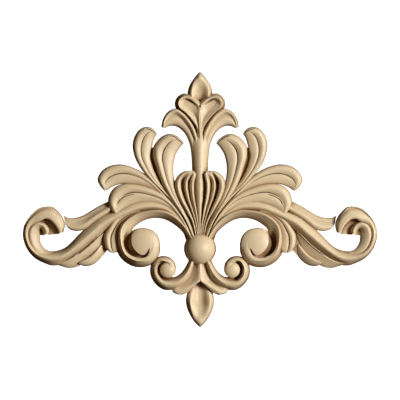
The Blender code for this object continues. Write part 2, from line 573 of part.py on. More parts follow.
def onlay():
    """All lobes of both halves in one mesh, united and cut flat by one Boolean."""
    shape = bmesh.new()
    for rings in middle_lobes():
        add_rings(shape, rings)
    for rings in half_lobes():
        add_rings(shape, rings)
        add_rings(shape, [[(-x, y, z) for x, y, z in ring] for ring in rings])
    body = mesh_object("onlay", shape)
    body.data.materials.append(wood())
    cut = body.modifiers.new("Flat back", "BOOLEAN")
    cut.operation = "DIFFERENCE"
    cut.solver = "EXACT"
    cut.use_self = True
    cut.object = back_cutter()
    merge = body.modifiers.new("Merge flat faces", "DECIMATE")
    merge.decimate_type = "DISSOLVE"
    merge.angle_limit = math.radians(FLAT_ANGLE)
    return body


def main():
    """Clears the scene and models the onlay."""
    for old in list(bpy.data.objects):
        bpy.data.objects.remove(old)
    onlay()


main()
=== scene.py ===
# %% [markdown]
# # A carved onlay, modelled leaf by leaf
# This lesson models a flat-backed wooden onlay: a round boss with a fan of long leaves, scrolled
# arms and leafy wings on each side. Carved ornament like this is a stack of simple strips. Each leaf
# or scroll is one strip with a raised section, and strips that overlap are what looks complicated.
# So the model needs little more than one kind of surface, used about thirty times and mirrored, and
# three Booleans at the end.

import json
import math

import bmesh
import bpy
import mathutils
import numpy as np
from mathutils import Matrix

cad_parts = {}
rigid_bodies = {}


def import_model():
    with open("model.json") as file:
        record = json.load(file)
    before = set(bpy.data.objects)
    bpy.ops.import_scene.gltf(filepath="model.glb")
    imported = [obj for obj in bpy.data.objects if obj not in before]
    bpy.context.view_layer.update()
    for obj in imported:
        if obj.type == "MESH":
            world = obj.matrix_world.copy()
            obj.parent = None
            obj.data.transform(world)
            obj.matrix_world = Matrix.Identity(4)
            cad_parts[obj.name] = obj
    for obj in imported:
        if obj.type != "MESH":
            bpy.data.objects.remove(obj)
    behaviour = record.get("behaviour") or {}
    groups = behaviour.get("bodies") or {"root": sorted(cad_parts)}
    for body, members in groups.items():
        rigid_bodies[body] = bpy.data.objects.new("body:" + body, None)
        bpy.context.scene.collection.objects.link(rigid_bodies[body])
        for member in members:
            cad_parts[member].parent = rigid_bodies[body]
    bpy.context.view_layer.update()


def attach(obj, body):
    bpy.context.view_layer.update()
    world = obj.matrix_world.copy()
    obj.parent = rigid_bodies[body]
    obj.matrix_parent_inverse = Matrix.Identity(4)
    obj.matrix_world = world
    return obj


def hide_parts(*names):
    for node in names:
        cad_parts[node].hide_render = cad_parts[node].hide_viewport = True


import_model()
MM = 0.001

# %% [markdown]
# ## Smooth lines from a few points
# A carver draws a leaf with two lines that start together at the root and meet again at the tip. Here
# each line is a handful of points in millimetres, right of the middle line and up from the boss. They
# could be Bezier curves, but a cubic through the points needs no handles. Points with the same number
# on both lines face each other, like the two ends of a rib, so both lines are read from rib to rib.

# %% Lines
def flow(points, share):
    """Point at each share of the way from first rib to last: between two ribs a cubic runs with the
    slope at each rib, and the slope is the mean change per millimetre of line around that rib."""
    knots = np.array(points, dtype=float)
    steps = np.linalg.norm(np.diff(knots, axis=0), axis=1)
    length = np.concatenate(([0.0], np.cumsum(steps)))
    slope = np.gradient(knots, length, axis=0)
    position = share * (len(knots) - 1)
    first = np.minimum(position.astype(int), len(knots) - 2)
    f = (position - first)[:, None]
    step = steps[first][:, None]
    start = (1 + 2 * f) * (1 - f) ** 2 * knots[first] + f * (1 - f) ** 2 * step * slope[first]
    end = f * f * (3 - 2 * f) * knots[first + 1] + f * f * (f - 1) * step * slope[first + 1]
    return start + end


def along(values, share):
    """One value, or a few spread evenly from root to tip: between two of them a cubic runs with the
    slope at each, and the slope is the mean change to both sides of it."""
    values = np.atleast_1d(np.array(values, dtype=float))
    if len(values) == 1:
        return np.full(len(share), values[0])
    position = share * (len(values) - 1)
    first = np.minimum(position.astype(int), len(values) - 2)
    f = position - first
    slope = np.gradient(values)
    start = (1 + 2 * f) * (1 - f) ** 2 * values[first] + f * (1 - f) ** 2 * slope[first]
    end = f * f * (3 - 2 * f) * values[first + 1] + f * f * (f - 1) * slope[first + 1]
    return start + end


TRY_LINE = [(0, 0), (10, 4), (20, 0)]
print("a quarter of the way along a bent line:", flow(TRY_LINE, np.array([0.25])).round(2).tolist())

# %% [markdown]
# ## The section of a leaf
# Cut across a leaf and you see its section: a side wall, a rounded ridge, a fine vein, a soft
# hollow. Each station of a section says how far across it is (0 at the outer line, 1 at the inner
# one), how high it is, and how soft. At softness 1 the curve runs smoothly through the station and at
# 0 it has a corner there, as in a vein. A list of numbers changes a station from root to tip.

# %% Sections
def section_curve(across, height, soft, cuts):
    """Cubic from station to station, in millimetres, for all ribs at once. The direction at a station
    is the mean of the two chords that meet there, mixed with the chord itself where it is sharp."""
    knots = np.stack([across, height], axis=-1)
    step = np.maximum(np.linalg.norm(np.diff(knots, axis=0), axis=-1, keepdims=True), 1e-6)
    chord = np.diff(knots, axis=0) / step
    mean = (chord[:-1] * step[1:] + chord[1:] * step[:-1]) / (step[:-1] + step[1:])
    slope = np.concatenate([chord[:1], mean, chord[-1:]])
    soft = np.array(soft, dtype=float)[:, None, None]
    leave = slope[:-1] * soft[:-1] + chord * (1 - soft[:-1])
    arrive = slope[1:] * soft[1:] + chord * (1 - soft[1:])
    f = (np.arange(cuts) / cuts)[None, :, None, None]
    knots, step, leave, arrive = (a[:, None] for a in (knots, step, leave, arrive))
    points = (1 + 2 * f) * (1 - f) ** 2 * knots[:-1] + f * (1 - f) ** 2 * step * leave
    points = points + f * f * (3 - 2 * f) * knots[1:] + f * f * (f - 1) * step * arrive
    points = points.reshape(-1, *points.shape[2:])
    return np.concatenate([points, knots[-1]])


TRY_ACROSS, TRY_HEIGHT = np.array([[0.0], [5.0], [10.0]]), np.array([[2.0], [6.0], [2.0]])
arch = section_curve(TRY_ACROSS, TRY_HEIGHT, [1, 1, 1], 4)
print("points across an arch of three stations:", len(arch), "top in mm:", round(arch[..., 1].max(), 1))

# %% [markdown]
# ## Closed tubes
# Booleans will join everything at the end, and they need closed shapes. So every piece is kept as a
# tube: a grid of points whose rows are rings, with a cap at both ends. A piece that stands on both
# sides is kept twice, once mirrored. The cutters are kept apart, because they are taken away at last.

# %% Tubes
solids, cutters = [], []


def closed_tube(points):
    """Vertices, side faces and two caps: the grid's rows are rings, and point j of ring i makes a face
    with its neighbour in the ring and the same two points of the next ring."""
    rows, ring = points.shape[:2]
    number = np.arange(rows * ring).reshape(rows, ring)
    ahead = np.roll(number, -1, axis=1)
    sides = np.stack([number[:-1], ahead[:-1], ahead[1:], number[1:]], axis=-1).reshape(-1, 4)
    return points.reshape(-1, 3), sides, number[[0, -1]]


def keep(points, both, group):
    """Adds a tube to a group, with its mirror image where both sides have it."""
    group.append(closed_tube(points))
    if both:
        group.append(closed_tube(points * np.array([-1.0, 1.0, 1.0])))


TRY_TUBE = closed_tube(np.zeros((3, 8, 3)))
print("points, sides and caps of a tube of three rings of eight:", *map(len, TRY_TUBE))

# %% [markdown]
# ## One strip
# A strip is a grid: one direction runs from root to tip, the other across the section. Two more
# columns lie BACK_ALLOWANCE behind the back plane, and they make each row a ring. It could be a curve
# with a bevel profile, but a grid between two free lines can widen and turn as it likes. Each strip
# grows by EDGE on both sides, so strips that only touch in the drawing become one. A cutter is a strip
# too. It reaches from its floor up to CUTTER_TOP, above everything.

# %% Strips
BACK_ALLOWANCE, EDGE, CUTTER_TOP = 4.0, 0.3, 30.0
CUTS = 4


def strip(outer, inner, stations, rows, both=True, floor=-BACK_ALLOWANCE, group=solids):
    """Point at row u and column v: on the rib from outer(u) to inner(u), at the section's distance
    across, and as far in front of the back plane as the section is high."""
    share = np.linspace(0.0, 1.0, rows)
    left, right = flow(outer, share), flow(inner, share)
    width = np.linalg.norm(right - left, axis=1)
    rib = (right - left) / width[:, None]
    left, right, width = left - EDGE * rib, right + EDGE * rib, width + 2 * EDGE
    across = np.array([along(s[0], share) for s in stations]) * width
    height = np.array([along(s[1], share) for s in stations])
    curve = section_curve(across, height, [s[2] for s in stations], CUTS)
    plan = left + rib * curve[..., :1]
    front = np.stack([plan[..., 0], -curve[..., 1], plan[..., 1]], axis=-1)
    back = -along(floor, share)
    first = np.stack([left[:, 0], back, left[:, 1]], axis=-1)
    last = np.stack([right[:, 0], back, right[:, 1]], axis=-1)
    grid = np.concatenate([first[None], front, last[None]]).transpose(1, 0, 2)
    keep(grid, both, group)


def flat(height):
    """A section that is equally high from side to side."""
    return [(0.0, height, 1), (1.0, height, 1)]


def cutter(outer, inner, floor, rows):
    """A strip with a flat top above everything, kept with the cutters."""
    strip(outer, inner, flat(CUTTER_TOP), rows, floor=floor, group=cutters)


def part_of(top, *shares):
    """Heights from root to tip, given as shares of the strip's top height."""
    return [top * share for share in shares]


print("half and all of a height of 10 mm:", part_of(10.0, 0.5, 1.0))

# %% [markdown]
# ## The fan of long leaves
# Four leaves on each side spread up and out from behind the boss. Each has a rounded ridge near its
# outer line, a fine vein cut with a knife, and a gently swelling inner half. The vein is one sharp
# station between two soft ones close by, which keeps it a true groove that light can fall into. How
# deep it goes changes along the leaf, and it fades out at the root and at the tip. Two flat, low
# strips fill the ground between the leaves' roots.

# %% Fan leaves
FAN_TOP = (10.5, 13.0, 9.5, 12.0)
LONG_VEIN = (0.87, 0.88, 0.62, 0.54, 0.58, 0.92, 0.77)
SHORT_VEIN = (0.87, 0.88, 0.62, 0.6, 0.9, 0.92, 0.77)
FAN_VEIN = (LONG_VEIN, LONG_VEIN, LONG_VEIN, SHORT_VEIN)


def fan_leaf(outer, inner, top, vein, rows=90):
    """Wall, ridge at a quarter of the width, vein at the middle, swelling inner half, inner wall."""
    strip(outer, inner, [
        (0.0, part_of(top, 0.35, 0.4, 0.45, 0.45, 0.45, 0.42, 0.35), 1),
        (0.08, part_of(top, 0.68, 0.76, 0.83, 0.84, 0.83, 0.8, 0.6), 1),
        ((0.3, 0.28, 0.24, 0.22, 0.22, 0.26, 0.3), part_of(top, 0.96, 1.0, 1.0, 1.0, 1.0, 1.0, 0.74), 1),
        (0.38, part_of(top, 0.94, 0.98, 0.96, 0.93, 0.93, 0.99, 0.76), 1),
        (0.445, part_of(top, 0.9, 0.95, 0.9, 0.86, 0.86, 0.96, 0.77), 0.2),
        (0.468, part_of(top, *vein), 0),
        (0.495, part_of(top, 0.83, 0.88, 0.9, 0.88, 0.86, 0.92, 0.77), 0.2),
        (0.62, part_of(top, 0.74, 0.84, 0.92, 0.93, 0.9, 0.88, 0.76), 1),
        (0.82, part_of(top, 0.62, 0.72, 0.82, 0.86, 0.82, 0.78, 0.7), 1),
        (0.94, part_of(top, 0.54, 0.62, 0.72, 0.76, 0.72, 0.68, 0.62), 1),
        (1.0, part_of(top, 0.5, 0.55, 0.6, 0.6, 0.58, 0.55, 0.45), 1),
    ], rows)


FAN_OUTER = (
    [(21, 37), (28.5, 47), (37, 56), (49, 68), (58.5, 79.5), (65.5, 93.5), (67, 103.5), (65, 112),
     (60.5, 118.5), (53.5, 121.5), (47.5, 120), (44, 117)],
    [(7, 10), (12.5, 24), (19.5, 36.5), (28.5, 49.5), (37, 63.5), (43.5, 81), (47, 95.5), (46.5, 101),
     (43, 107), (37.5, 112), (30, 114.5), (22.5, 112), (17, 107.5)],
    [(25, 41.5), (35.5, 54.5), (54, 73.5), (65, 80), (80.5, 84), (92, 81.5), (99, 76), (102, 68.5),
     (99, 62), (95.5, 58)],
    [(6.5, 8), (12.5, 22), (21, 37), (35.5, 53), (53, 61.5), (65.5, 64.5), (75, 64.8), (85, 61),
     (90.5, 53), (91.5, 46), (90, 41.5), (86, 35.5), (83, 32.5)],
)
FAN_INNER = (
    [(14, 37), (22, 47.5), (31, 57), (42.5, 71), (48, 83), (50, 93), (49, 98.5), (48, 103), (47, 107),
     (45.8, 110.5), (44.5, 113), (43, 115)],
    [(2, 10), (8, 24), (13.5, 36), (20, 50.5), (26, 69.5), (27, 79), (26.5, 86), (25.5, 90.5), (24, 95),
     (22, 98.5), (20, 101.5), (18, 103.8), (16.3, 105.5)],
    [(27, 39), (38, 50), (52, 59.5), (62, 63.5), (70, 64.6), (77, 65), (82.5, 64), (86.5, 62.5),
     (90, 60.5), (93.5, 58)],
    [(10, 6), (16, 21), (24, 32), (35, 41), (47.5, 45), (54, 46), (60, 46), (65, 44.5), (69.5, 43),
     (73.5, 41), (76.5, 38.5), (79, 36), (81, 33)],
)
for outer, inner, top, vein in zip(FAN_OUTER, FAN_INNER, FAN_TOP, FAN_VEIN):
    fan_leaf(outer, inner, top, vein)
ROOT_GROUND, LEAF_WEB = 5.0, 4.5
strip([(2, 6), (5, 24), (11, 40), (19, 52), (28, 60), (36, 66)],
      [(12, 3), (18, 20), (28, 34), (40, 46), (48, 57), (49, 66)],
      flat(ROOT_GROUND), 12)
strip([(33, 58), (43, 71), (48, 83), (50.5, 95), (51, 101)],
      [(27, 56), (36, 70), (42, 83), (45, 95), (46, 101)],
      flat(LEAF_WEB), 14)
print("strips after the fan:", len(solids))

# %% [markdown]
# ## The small hollowed leaf
# Beside the stem stands a short leaf whose rim loops over its head like a hood. Inside, two deep
# hollows leave a raised vein. One strip does it: the hollows close where their stations climb back
# to the rim's height near the head.

# %% Small leaf
SMALL_TOP = 14.5
strip(
    [(4, 10), (7.5, 26), (14, 38), (21, 50), (24.8, 61), (24.8, 67.5), (21.5, 73.2), (15.8, 77),
     (9, 78)],
    [(1, 10), (2, 26.5), (4, 40.5), (6, 53.5), (6.2, 62), (5.8, 67), (4.6, 71.5), (4.2, 74.5), (6, 77.4)],
    [
        (0.0, part_of(SMALL_TOP, 0.55, 0.55, 0.55, 0.55, 0.55, 0.55, 0.55, 0.55, 0.5), 1),
        (0.07, part_of(SMALL_TOP, 0.7, 0.75, 0.8, 0.85, 0.85, 0.85, 0.85, 0.8, 0.65), 1),
        (0.17, part_of(SMALL_TOP, 0.85, 0.9, 0.97, 1.0, 1.0, 1.0, 1.0, 0.97, 0.8), 1),
        (0.28, part_of(SMALL_TOP, 0.82, 0.85, 0.9, 0.92, 0.92, 0.95, 1.02, 1.0, 0.85), 0.7),
        (0.35, part_of(SMALL_TOP, 0.75, 0.65, 0.5, 0.42, 0.4, 0.42, 0.72, 0.98, 0.86), 0.3),
        (0.4, part_of(SMALL_TOP, 0.75, 0.66, 0.5, 0.42, 0.4, 0.42, 0.72, 0.97, 0.86), 0.3),
        (0.58, part_of(SMALL_TOP, 0.85, 0.88, 0.92, 0.93, 0.93, 0.9, 0.9, 0.96, 0.86), 0.5),
        (0.75, part_of(SMALL_TOP, 0.78, 0.7, 0.6, 0.55, 0.52, 0.52, 0.76, 0.97, 0.86), 0.3),
        (0.83, part_of(SMALL_TOP, 0.82, 0.84, 0.9, 0.92, 0.92, 0.94, 1.0, 1.0, 0.85), 0.7),
        (0.91, part_of(SMALL_TOP, 0.8, 0.88, 0.96, 1.0, 1.0, 1.0, 1.0, 0.97, 0.8), 1),
        (1.0, part_of(SMALL_TOP, 0.6, 0.65, 0.72, 0.75, 0.75, 0.72, 0.66, 0.6, 0.5), 1),
    ], 90)
print("strips with the small leaf:", len(solids))

# %% [markdown]
# ## The stem
# A half-round stem climbs from the boss and widens towards the trefoil on its top. Its section is the
# same on both sides, so one side is written down and read backwards for the other.

# %% Stem
STEM_TOP = 11.5
stem_line = [(3, 10), (4, 30), (5.5, 50), (7, 68), (7.8, 82), (8.3, 92), (9.4, 101), (10.6, 107),
             (9, 113), (4, 118)]
stem_side = [
    (0.0, part_of(STEM_TOP, 0.4, 0.4, 0.4, 0.4, 0.4, 0.4, 0.4, 0.45, 0.4, 0.35), 1),
    (0.08, part_of(STEM_TOP, 0.58, 0.58, 0.58, 0.58, 0.58, 0.58, 0.56, 0.56, 0.5, 0.45), 1),
    (0.25, part_of(STEM_TOP, 0.84, 0.84, 0.84, 0.84, 0.84, 0.83, 0.8, 0.76, 0.65, 0.5), 1),
]
stem_ridge = (0.5, part_of(STEM_TOP, 1.0, 1.0, 1.0, 1.0, 1.0, 0.99, 0.97, 0.92, 0.8, 0.6), 1)
other_side = [(1 - across, height, soft) for across, height, soft in reversed(stem_side)]
strip(stem_line, [(-x, z) for x, z in stem_line], [*stem_side, stem_ridge, *other_side], 80, both=False)
print("strips with the stem:", len(solids))

# %% [markdown]
# ## The trefoil's side leaves
# A side leaf droops to each side of the stem, with a gutter under its upper rim. The stations of the rim
# move towards the middle of the leaf near the tip, so the rim broadens there and rolls over.

# %% Side leaves
SIDE_TOP = 9.5
strip(
    [(2.6, 92), (2.2, 101), (2.4, 110), (5, 118.6), (10.4, 128.2), (17.2, 135.9), (24, 139.6),
     (30.4, 137.6), (35, 133), (37.8, 126.4), (38.4, 121.2)],
    [(7.8, 84), (8.4, 94), (9.6, 102), (11.8, 109), (15.4, 115.6), (19.5, 119.8), (23.5, 122.2),
     (27.4, 123), (30.6, 122.8), (33.2, 121.8), (35.2, 120.6)],
    [
        (0.0, part_of(SIDE_TOP, 0.3, 0.5, 0.7, 0.7, 0.5, 0.12, 0.1), 1),
        ((0.07, 0.07, 0.07, 0.07, 0.07, 0.14, 0.3),
         part_of(SIDE_TOP, 0.5, 0.85, 1.05, 1.05, 0.96, 0.66, 0.5), 1),
        ((0.2, 0.2, 0.19, 0.17, 0.15, 0.25, 0.5),
         part_of(SIDE_TOP, 0.7, 1.0, 1.18, 1.15, 1.08, 0.96, 0.72), 1),
        ((0.32, 0.32, 0.3, 0.28, 0.24, 0.34, 0.6),
         part_of(SIDE_TOP, 0.75, 0.95, 1.08, 1.02, 0.96, 0.92, 0.74), 0.5),
        ((0.42, 0.42, 0.4, 0.38, 0.36, 0.44, 0.68),
         part_of(SIDE_TOP, 0.76, 0.8, 0.84, 0.8, 0.78, 0.78, 0.72), 0.8),
        ((0.66, 0.66, 0.66, 0.66, 0.66, 0.68, 0.8),
         part_of(SIDE_TOP, 0.74, 0.82, 0.86, 0.84, 0.84, 0.8, 0.68), 1),
        (0.88, part_of(SIDE_TOP, 0.56, 0.66, 0.7, 0.7, 0.7, 0.68, 0.6), 1),
        (1.0, part_of(SIDE_TOP, 0.35, 0.35, 0.35, 0.35, 0.35, 0.35, 0.35), 1),
    ], 80)
print("strips with the side leaves:", len(solids))

# %% [markdown]
# ## The heart
# The heart-shaped leaf in the middle is made by halves. Each half is two strips: a face that is dished
# between its edge and the middle ridge, and a rolled rim over it that leaves a short deep groove near
# the notch. The face reaches a little past the middle line, so that the two halves grow together.

# %% Heart
HEART_TOP = 13.0
strip(
    [(1.2, 110), (3.8, 120.8), (6.8, 127.8), (10.4, 133.8), (14.6, 139.4), (17.6, 144), (14, 148.6)],
    [(-2, 109), (-2, 115), (-2, 120), (-2, 125), (-2, 130), (-2, 135), (-2, 139.6)],
    [
        (0.0, part_of(HEART_TOP, 0.6, 0.72, 0.84, 0.88, 0.84, 0.74, 0.64), 1),
        ((0.12, 0.2, 0.26, 0.3, 0.3, 0.3, 0.3),
         part_of(HEART_TOP, 0.64, 0.72, 0.78, 0.78, 0.76, 0.72, 0.68), 1),
        ((0.2, 0.34, 0.44, 0.5, 0.52, 0.54, 0.54),
         part_of(HEART_TOP, 0.68, 0.74, 0.76, 0.74, 0.74, 0.74, 0.74), 1),
        ((0.3, 0.46, 0.57, 0.65, 0.7, 0.74, 0.76),
         part_of(HEART_TOP, 0.74, 0.84, 0.88, 0.87, 0.86, 0.85, 0.85), 1),
        ((0.39, 0.57, 0.68, 0.77, 0.83, 0.88, 0.9),
         part_of(HEART_TOP, 0.8, 0.92, 0.98, 1.0, 0.98, 0.97, 0.95), 1),
        (1.0, part_of(HEART_TOP, 0.6, 0.68, 0.76, 0.8, 0.8, 0.8, 0.8), 1),
    ], 60)
strip(
    [(0.6, 110), (4, 116.6), (7.6, 122), (12, 128.4), (18, 134.8), (23.2, 139), (25, 144.6), (22.6, 151),
     (16.6, 154.7), (10.8, 153.7), (5, 150.4), (-0.4, 145.8)],
    [(-1, 119), (0.4, 124), (2.4, 129), (6.6, 133.6), (11.6, 138.8), (15.6, 142.4), (16.6, 144.6),
     (15.4, 146.6), (13, 147), (10, 146), (5.6, 142.4), (2, 138.4)],
    [
        (0.0, part_of(HEART_TOP, 0.3, 0.3, 0.3, 0.3, 0.36, 0.4, 0.5), 1),
        ((0.3, 0.3, 0.3, 0.3, 0.28, 0.26, 0.26),
         part_of(HEART_TOP, 0.5, 0.5, 0.5, 0.52, 0.64, 0.78, 0.78), 1),
        ((0.52, 0.5, 0.48, 0.44, 0.4, 0.38, 0.38),
         part_of(HEART_TOP, 0.84, 0.92, 0.96, 0.98, 1.0, 0.98, 0.94), 0.6),
        ((0.66, 0.64, 0.6, 0.57, 0.56, 0.56, 0.55),
         part_of(HEART_TOP, 0.82, 0.88, 0.9, 0.93, 0.95, 0.94, 0.96), 0.6),
        ((0.84, 0.84, 0.82, 0.8, 0.76, 0.72, 0.7),
         part_of(HEART_TOP, 0.76, 0.8, 0.82, 0.82, 0.7, 0.52, 0.94), 0.6),
        (1.0, part_of(HEART_TOP, 0.7, 0.74, 0.76, 0.76, 0.62, 0.42, 0.9), 1),
    ], 90)
print("strips with the heart:", len(solids))

# %% [markdown]
# ## Two buds
# A bud stands up behind the heart, and another hangs below the boss. Both are hollowed along the middle
# and close towards the tip, so one function makes them from half widths and levels.

# %% Buds
BUD_TOP = 8.5


def bud(half_widths, heights, rim, valley):
    """Both lines are the same half widths about the middle line; the hollow fades towards the tip."""
    outer = list(zip(half_widths, heights))
    edge = part_of(BUD_TOP, 0.2, 0.3, 0.3, 0.3, 0.25)
    strip(outer, [(-x, z) for x, z in outer],
          [(0.0, edge, 1), (0.16, rim, 1), (0.43, valley, 1), (0.57, valley, 1), (0.84, rim, 1),
           (1.0, edge, 1)], 60, both=False)


bud((6, 11, 12.1, 10.2, 7, 3.5, 0.8), (138, 149, 156.5, 163, 168.5, 173, 176.2),
    part_of(BUD_TOP, 0.9, 1.0, 0.95, 0.8, 0.45), part_of(BUD_TOP, 0.3, 0.4, 0.8, 1.05, 0.5))
bud((8, 12.2, 13.9, 13, 9.2, 4.6, 0.6), (-31, -43, -51.7, -58, -67.2, -74, -78.1),
    part_of(BUD_TOP, 0.2, 0.6, 0.96, 0.96, 0.8, 0.4), part_of(BUD_TOP, 0.1, 0.12, 0.3, 0.75, 1.0, 0.5))
print("strips with the buds:", len(solids))

# %% [markdown]
# ## Scrolls
# A scroll is a strip whose lines wind up. Points set by hand would wobble on a circle, so the winding
# part takes its points from a rule: even angles round a centre, with a radius that shrinks towards
# the eye.

# %% Winding
def winding(centre, radii, start, end):
    """Points on a spiral: the given radii at even angles, in degrees, round the centre."""
    angles = np.radians(np.linspace(start, end, len(radii)))
    points = np.array(centre) + np.array(radii)[:, None] * np.stack([np.cos(angles), np.sin(angles)], 1)
    return [tuple(point) for point in points]


print("length of a winding that is a half circle of 10 mm:",
      round(float(np.linalg.norm(np.diff(winding((0, 0), [10] * 50, 0, 180), axis=0), axis=1).sum()), 2))

# %% [markdown]
# ## The big scroll
# A broad band rises from the boss and winds down round an eye. Its crest stays near the outer line, its
# inner side falls towards the eye, and a low web joins the eye to the band.

# %% Big scroll
SCROLL_RIM = 14.0
scroll_outer = [(4, 5), (8.5, 13), (14.5, 23), (23.5, 32.5), (32.5, 37.5), (42, 39.5)]
scroll_outer += winding((55.0, 8.5), (31, 29.5, 29.5, 29.5, 29.8, 28.2, 25, 19.6, 15.2), 98, -170)
scroll_inner = [(9, 1), (12.7, 9.5), (17.5, 17), (26, 24.5), (34, 29), (42, 30.8), (50, 30.2),
                (60.5, 25.8), (68.2, 18), (62.5, 7.3), (60, 0), (56, -3), (53, -1.5), (51, 2.5), (50, 6)]
strip(scroll_outer, scroll_inner, [
    (0.0, part_of(SCROLL_RIM, 0.5, 0.5, 0.5, 0.45, 0.4, 0.35, 0.3, 0.25, 0.2, 0.2, 0.2, 0.2, 0.3,
                  0.42, 0.46), 1),
    (0.11, part_of(SCROLL_RIM, 0.68, 0.72, 0.76, 0.76, 0.74, 0.7, 0.62, 0.55, 0.48, 0.44, 0.42, 0.44,
                   0.58, 0.68, 0.7), 1),
    ((0.22, 0.21, 0.2, 0.19, 0.19, 0.19, 0.19, 0.19, 0.18, 0.19, 0.22, 0.28, 0.28, 0.26, 0.22),
     part_of(SCROLL_RIM, 0.8, 0.9, 0.95, 0.96, 0.95, 0.93, 0.9, 0.86, 0.8, 0.76, 0.76, 0.78, 0.86,
             0.84, 0.81), 1),
    ((0.32, 0.3, 0.28, 0.27, 0.26, 0.26, 0.26, 0.26, 0.26, 0.27, 0.3, 0.4, 0.42, 0.38, 0.35),
     part_of(SCROLL_RIM, 0.78, 0.88, 0.95, 0.99, 1.0, 1.0, 1.0, 1.0, 1.0, 1.0, 1.0, 1.0, 0.97,
             0.92, 0.88), 0.4),
    ((0.5, 0.5, 0.5, 0.5, 0.5, 0.5, 0.5, 0.5, 0.48, 0.36, 0.42, 0.56, 0.6, 0.6, 0.6),
     part_of(SCROLL_RIM, 0.66, 0.72, 0.78, 0.8, 0.8, 0.8, 0.8, 0.8, 0.84, 0.86, 0.9, 0.94, 0.98,
             0.98, 0.97), 0.7),
    ((0.75, 0.75, 0.75, 0.75, 0.75, 0.75, 0.75, 0.75, 0.74, 0.42, 0.5, 0.64, 0.75, 0.8, 0.8),
     part_of(SCROLL_RIM, 0.5, 0.52, 0.54, 0.55, 0.55, 0.55, 0.55, 0.56, 0.6, 0.2, 0.18, 0.2, 0.88,
             0.96, 0.96), 0.7),
    (1.0, part_of(SCROLL_RIM, 0.3, 0.28, 0.28, 0.28, 0.28, 0.28, 0.28, 0.3, 0.35, 0.15, 0.15, 0.15,
                  0.8, 0.95, 0.95), 1),
], 190)
strip([(68.8, 16.6), (66.8, 18.2), (64, 19.8), (60, 20.5), (55, 20.6)],
      [(68, 4), (65, 4), (62, 4), (58, 6), (55, 8)],
      [(0.0, (3, 6.5, 8.2, 8.5, 8.5), 1), (0.15, (4, 7.5, 9, 9.5, 9.5), 1),
       (1.0, (4, 8, 9.5, 10, 10), 1)], 20)
print("strips with the big scrolls:", len(solids))

# %% [markdown]
# ## The volute
# Beside the skirt a smaller band winds the other way, round an eye of its own. Its inner side falls
# into a gully beside the eye, and the gully fills up towards the end of the winding.

# %% Volute
VOLUTE_RIM = 12.5
volute_outer = [(3, -8), (6.5, -18), (10, -27), (17, -35.4), (27, -40.6)]
volute_outer += winding(
    (36.0, -24.0), (16.8, 14.6, 13.4, 13.3, 13.9, 15.2, 16.3, 16.5, 15.9, 14.5, 12.5, 10.8), -90, 185)
volute_inner = [(9.5, -6), (11.7, -13), (14.5, -18.5), (19.5, -25), (25.5, -28.5)]
volute_inner += winding((31.8, -20.6), (6.8, 5.6, 5, 5, 5, 5, 5, 4, 4, 4, 4, 4), -90, 185)
strip(volute_outer, volute_inner, [
    (0.0, part_of(VOLUTE_RIM, 0.45, 0.45, 0.4, 0.25, 0.15, 0.15, 0.15, 0.2, 0.25, 0.35, 0.5, 0.56), 1),
    (0.1, part_of(VOLUTE_RIM, 0.55, 0.55, 0.54, 0.46, 0.44, 0.46, 0.5, 0.52, 0.56, 0.6, 0.64, 0.66), 1),
    ((0.4, 0.4, 0.42, 0.4, 0.36, 0.36, 0.36, 0.36, 0.36, 0.36, 0.36, 0.36),
     part_of(VOLUTE_RIM, 0.85, 0.92, 0.95, 0.96, 0.97, 0.98, 0.98, 0.98, 0.96, 0.92, 0.84, 0.8), 1),
    ((0.5, 0.5, 0.52, 0.5, 0.43, 0.42, 0.42, 0.42, 0.44, 0.5, 0.5, 0.5),
     part_of(VOLUTE_RIM, 0.85, 0.95, 1.0, 1.0, 1.0, 1.0, 1.0, 1.0, 0.99, 0.95, 0.89, 0.85), 0.6),
    ((0.65, 0.65, 0.68, 0.66, 0.54, 0.52, 0.52, 0.52, 0.56, 0.7, 0.7, 0.7),
     part_of(VOLUTE_RIM, 0.75, 0.84, 0.88, 0.86, 0.84, 0.82, 0.82, 0.84, 0.9, 0.94, 0.92, 0.9), 0.6),
    ((0.82, 0.82, 0.84, 0.82, 0.62, 0.6, 0.6, 0.6, 0.66, 0.85, 0.85, 0.85),
     part_of(VOLUTE_RIM, 0.6, 0.64, 0.66, 0.5, 0.2, 0.16, 0.16, 0.2, 0.4, 0.9, 0.93, 0.93), 0.7),
    (1.0, part_of(VOLUTE_RIM, 0.4, 0.4, 0.38, 0.3, 0.16, 0.14, 0.14, 0.16, 0.3, 0.88, 0.93, 0.93), 1),
], 150)
print("strips with the volutes:", len(solids))

# %% [markdown]
# ## Slots round the eyes
# The gully round each eye is too steep and narrow for a section, so a slot is cut there as a carver
# would: a cutter follows the gully, and its floor rises where the gouge came up again.

# %% Slots
SCROLL_SLOT = (
    [(69.4, 17.6), (72, 17), (74.6, 14.2), (75.9, 9), (75.8, 3.6), (73.9, -1.4), (70.6, -5.2),
     (66.2, -7.3), (61.4, -8.1), (57, -8.5), (53.7, -7.3), (51.2, -4.4), (49.9, 0.3)],
    [(68.9, 16.8), (68.1, 15), (68.3, 12.5), (68.5, 9), (68.4, 5.6), (67.2, 2.2), (65, -1.4),
     (62.4, -3.9), (59.6, -5.8), (56.8, -6.5), (54.4, -5.7), (52.2, -2.8), (50.3, 0.6)],
    (8, 6, 5.6, 5.6, 6, 8, 13))
VOLUTE_SLOT = ([(43.4, -20.5), (42.8, -16.8), (40.6, -12.9), (37, -11.8), (32.8, -13.9)],
               [(40, -19.4), (39, -16.8), (37.4, -14.8), (35.6, -13.8), (33.2, -14.6)],
               (7, 7, 7.4, 8.6, 11))
for outer, inner, floor in (SCROLL_SLOT, VOLUTE_SLOT):
    cutter(outer, inner, floor, 40)
print("cutters for the slots:", len(cutters))

